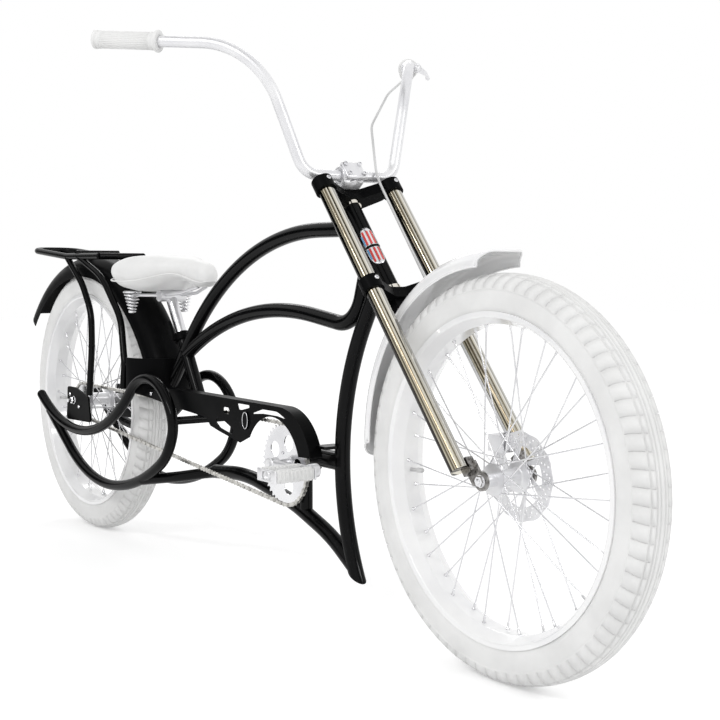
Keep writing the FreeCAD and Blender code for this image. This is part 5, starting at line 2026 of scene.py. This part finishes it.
class Studio:
    """Camera, lamps, cards, surroundings and floor."""

    # the photograph's viewpoint: its place, its angles in radians and its lens
    place = Vector((2.8985, -1.4958, -0.0258))
    yaw = 0.6207
    pitch = 0.0713
    roll = 0.001
    lens = 65.55
    # name, power, length, width, place and target of each strip lamp
    strips = (("near_lamp", 44.0, 2.6, 0.42, Vector((1.6, -3.4, 2.6)), Vector((0.4, 0.0, -0.3))),
              ("front_lamp", 24.0, 1.8, 0.36, Vector((4.2, 1.6, 1.4)), Vector((0.8, 0.0, -0.3))),
              ("rear_lamp", 18.0, 2.2, 0.40, Vector((-3.0, 2.2, 2.2)), Vector((0.0, 0.0, -0.3))))
    # name, place, width and height of each card, all turned to one point
    cards = (("side_card", Vector((-3.2, -2.7, 0.5)), 3.4, 2.0),
             ("top_card", Vector((0.6, -0.9, 3.2)), 5.0, 0.7),
             ("front_card", Vector((3.6, 2.6, 0.9)), 0.8, 2.6))
    cards_aim = Vector((0.4, 0.0, -0.2))
    # light of the surroundings on the object, and the white of the floor where it is seen
    sky = 0.87
    glow = 2.05
    glow_share = 0.18

    def camera(self) -> None:
        """Set the photograph's viewpoint."""
        data = bpy.data.cameras.new("view")
        data.lens = self.lens
        data.sensor_width = 36.0
        data.clip_end = 60.0
        item = linked("view", data)
        forward = Vector((-math.cos(self.yaw) * math.cos(self.pitch),
                          math.sin(self.yaw) * math.cos(self.pitch), -math.sin(self.pitch)))
        turn = forward.to_track_quat("-Z", "Y") @ Quaternion((0.0, 0.0, 1.0), self.roll)
        item.rotation_mode = "QUATERNION"
        item.rotation_quaternion = turn
        item.location = self.place
        bpy.context.scene.camera = item

    def lamps(self) -> None:
        """Long strip lamps: one over the near side, one ahead and one behind."""
        for name, power, long, tall, spot, aim in self.strips:
            data = bpy.data.lights.new(name, "AREA")
            data.shape = "RECTANGLE"
            data.energy = power
            data.size = long
            data.size_y = tall
            item = linked(name, data)
            item.location = spot
            item.rotation_mode = "QUATERNION"
            item.rotation_quaternion = (aim - spot).to_track_quat("-Z", "Y")

    def flags(self) -> None:
        """Black cards that only glossy surfaces see, for the dark lines in paint and chrome."""
        material = bpy.data.materials.new("black_card")
        material.use_nodes = True
        tree = material.node_tree
        dark = node(tree, "ShaderNodeEmission", {"Color": (0.0, 0.0, 0.0, 1.0)})
        feed(tree, tree.nodes["Material Output"], {"Surface": dark.outputs["Emission"]})
        for name, spot, wide, tall in self.cards:
            turn = (spot - self.cards_aim).to_track_quat("Z", "Y").to_matrix()
            corners = [spot + turn @ Vector((0.5 * wide * x, 0.5 * tall * y, 0.0))
                       for x, y in SQUARE]
            item = flat_sheet(name, corners, material)
            item.visible_camera = False
            item.visible_diffuse = False
            item.visible_transmission = False
            item.visible_shadow = False

    def world(self) -> None:
        """Even pale surroundings, white where the camera and mirrors see them."""
        world = bpy.data.worlds.new("surroundings")
        bpy.context.scene.world = world
        world.use_nodes = True
        tree = world.node_tree
        level = node(tree, "ShaderNodeMapRange",
                     {"To Min": self.sky, "To Max": 1.0, "Value": seen_directly(tree)})
        feed(tree, tree.nodes["Background"], {"Color": (1.0, 1.0, 1.0, 1.0),
                                              "Strength": level.outputs["Result"]})

    def floor(self) -> None:
        """Pale floor that keeps only the soft shadows under the tyres."""
        half = 14.0
        corners = [Vector((half * x, half * y, GROUND_Z)) for x, y in SQUARE]
        material = bpy.data.materials.new("pale_floor")
        material.use_nodes = True
        tree = material.node_tree
        shader = tree.nodes["Principled BSDF"]
        feed(tree, shader, {"Base Color": (0.9, 0.9, 0.9, 1.0), "Roughness": 0.9})
        glow = node(tree, "ShaderNodeEmission", {"Strength": self.glow})
        share = node(tree, "ShaderNodeMath", {0: seen_directly(tree), 1: self.glow_share},
                     operation="MULTIPLY")
        mix = node(tree, "ShaderNodeMixShader",
                   {"Fac": share.outputs[0], 1: shader.outputs["BSDF"],
                    2: glow.outputs["Emission"]})
        feed(tree, tree.nodes["Material Output"], {"Surface": mix.outputs["Shader"]})
        flat_sheet("floor", corners, material)

    def build(self) -> None:
        """Set the whole studio."""
        self.camera()
        self.lamps()
        self.flags()
        self.world()
        self.floor()
        bpy.context.scene.view_settings.view_transform = "Standard"


def main() -> None:
    """Load the frame, dress it and set the studio."""
    logging.basicConfig(level=logging.INFO, format="%(message)s")
    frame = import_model()
    wardrobe = Wardrobe()
    wardrobe.dress(frame["nodes"])
    repeater = Repeater("repeat_on_points")
    for end, axle, flange, side in (("rear", REAR_AXLE, 0.0302, 0.0305),
                                    ("front", FRONT_AXLE, 0.0282, 0.0285)):
        Tyre(end, axle).build(repeater, wardrobe["white_rubber"])
        WheelTrim(end, axle, flange, side).build(repeater, wardrobe)
    ChainLoop().build(repeater, wardrobe)
    Grips(GRIP_END - GRIP_WAY * 0.004, GRIP_WAY).build(repeater, wardrobe)
    BrakeLever(GRIP_END + GRIP_WAY * LEVER_ALONG, GRIP_WAY, GRIP_END + LEVER_TIP).build(wardrobe)
    for name, centre in PEDALS.items():
        Pedal(name, centre).build(repeater, wardrobe)
    Bolts().build(repeater, wardrobe)
    HeadPlate().build(wardrobe)
    BrakeRotor().build(wardrobe)
    StemClamp().build(wardrobe)
    Cranks().build(wardrobe)
    WheelAxle("front", "fork", FRONT_AXLE, 0.0635, 0.0570, 0.0050).build(wardrobe)
    WheelAxle("rear", "frame", REAR_AXLE, 0.0920, 0.0735, 0.0070).build(wardrobe)
    FrontGuardSheet().build(wardrobe)
    SmallFittings().build(wardrobe)
    Saddle().build(wardrobe)
    SaddleSprings().build(wardrobe)
    Studio().build()


if __name__ == "__main__":
    main()
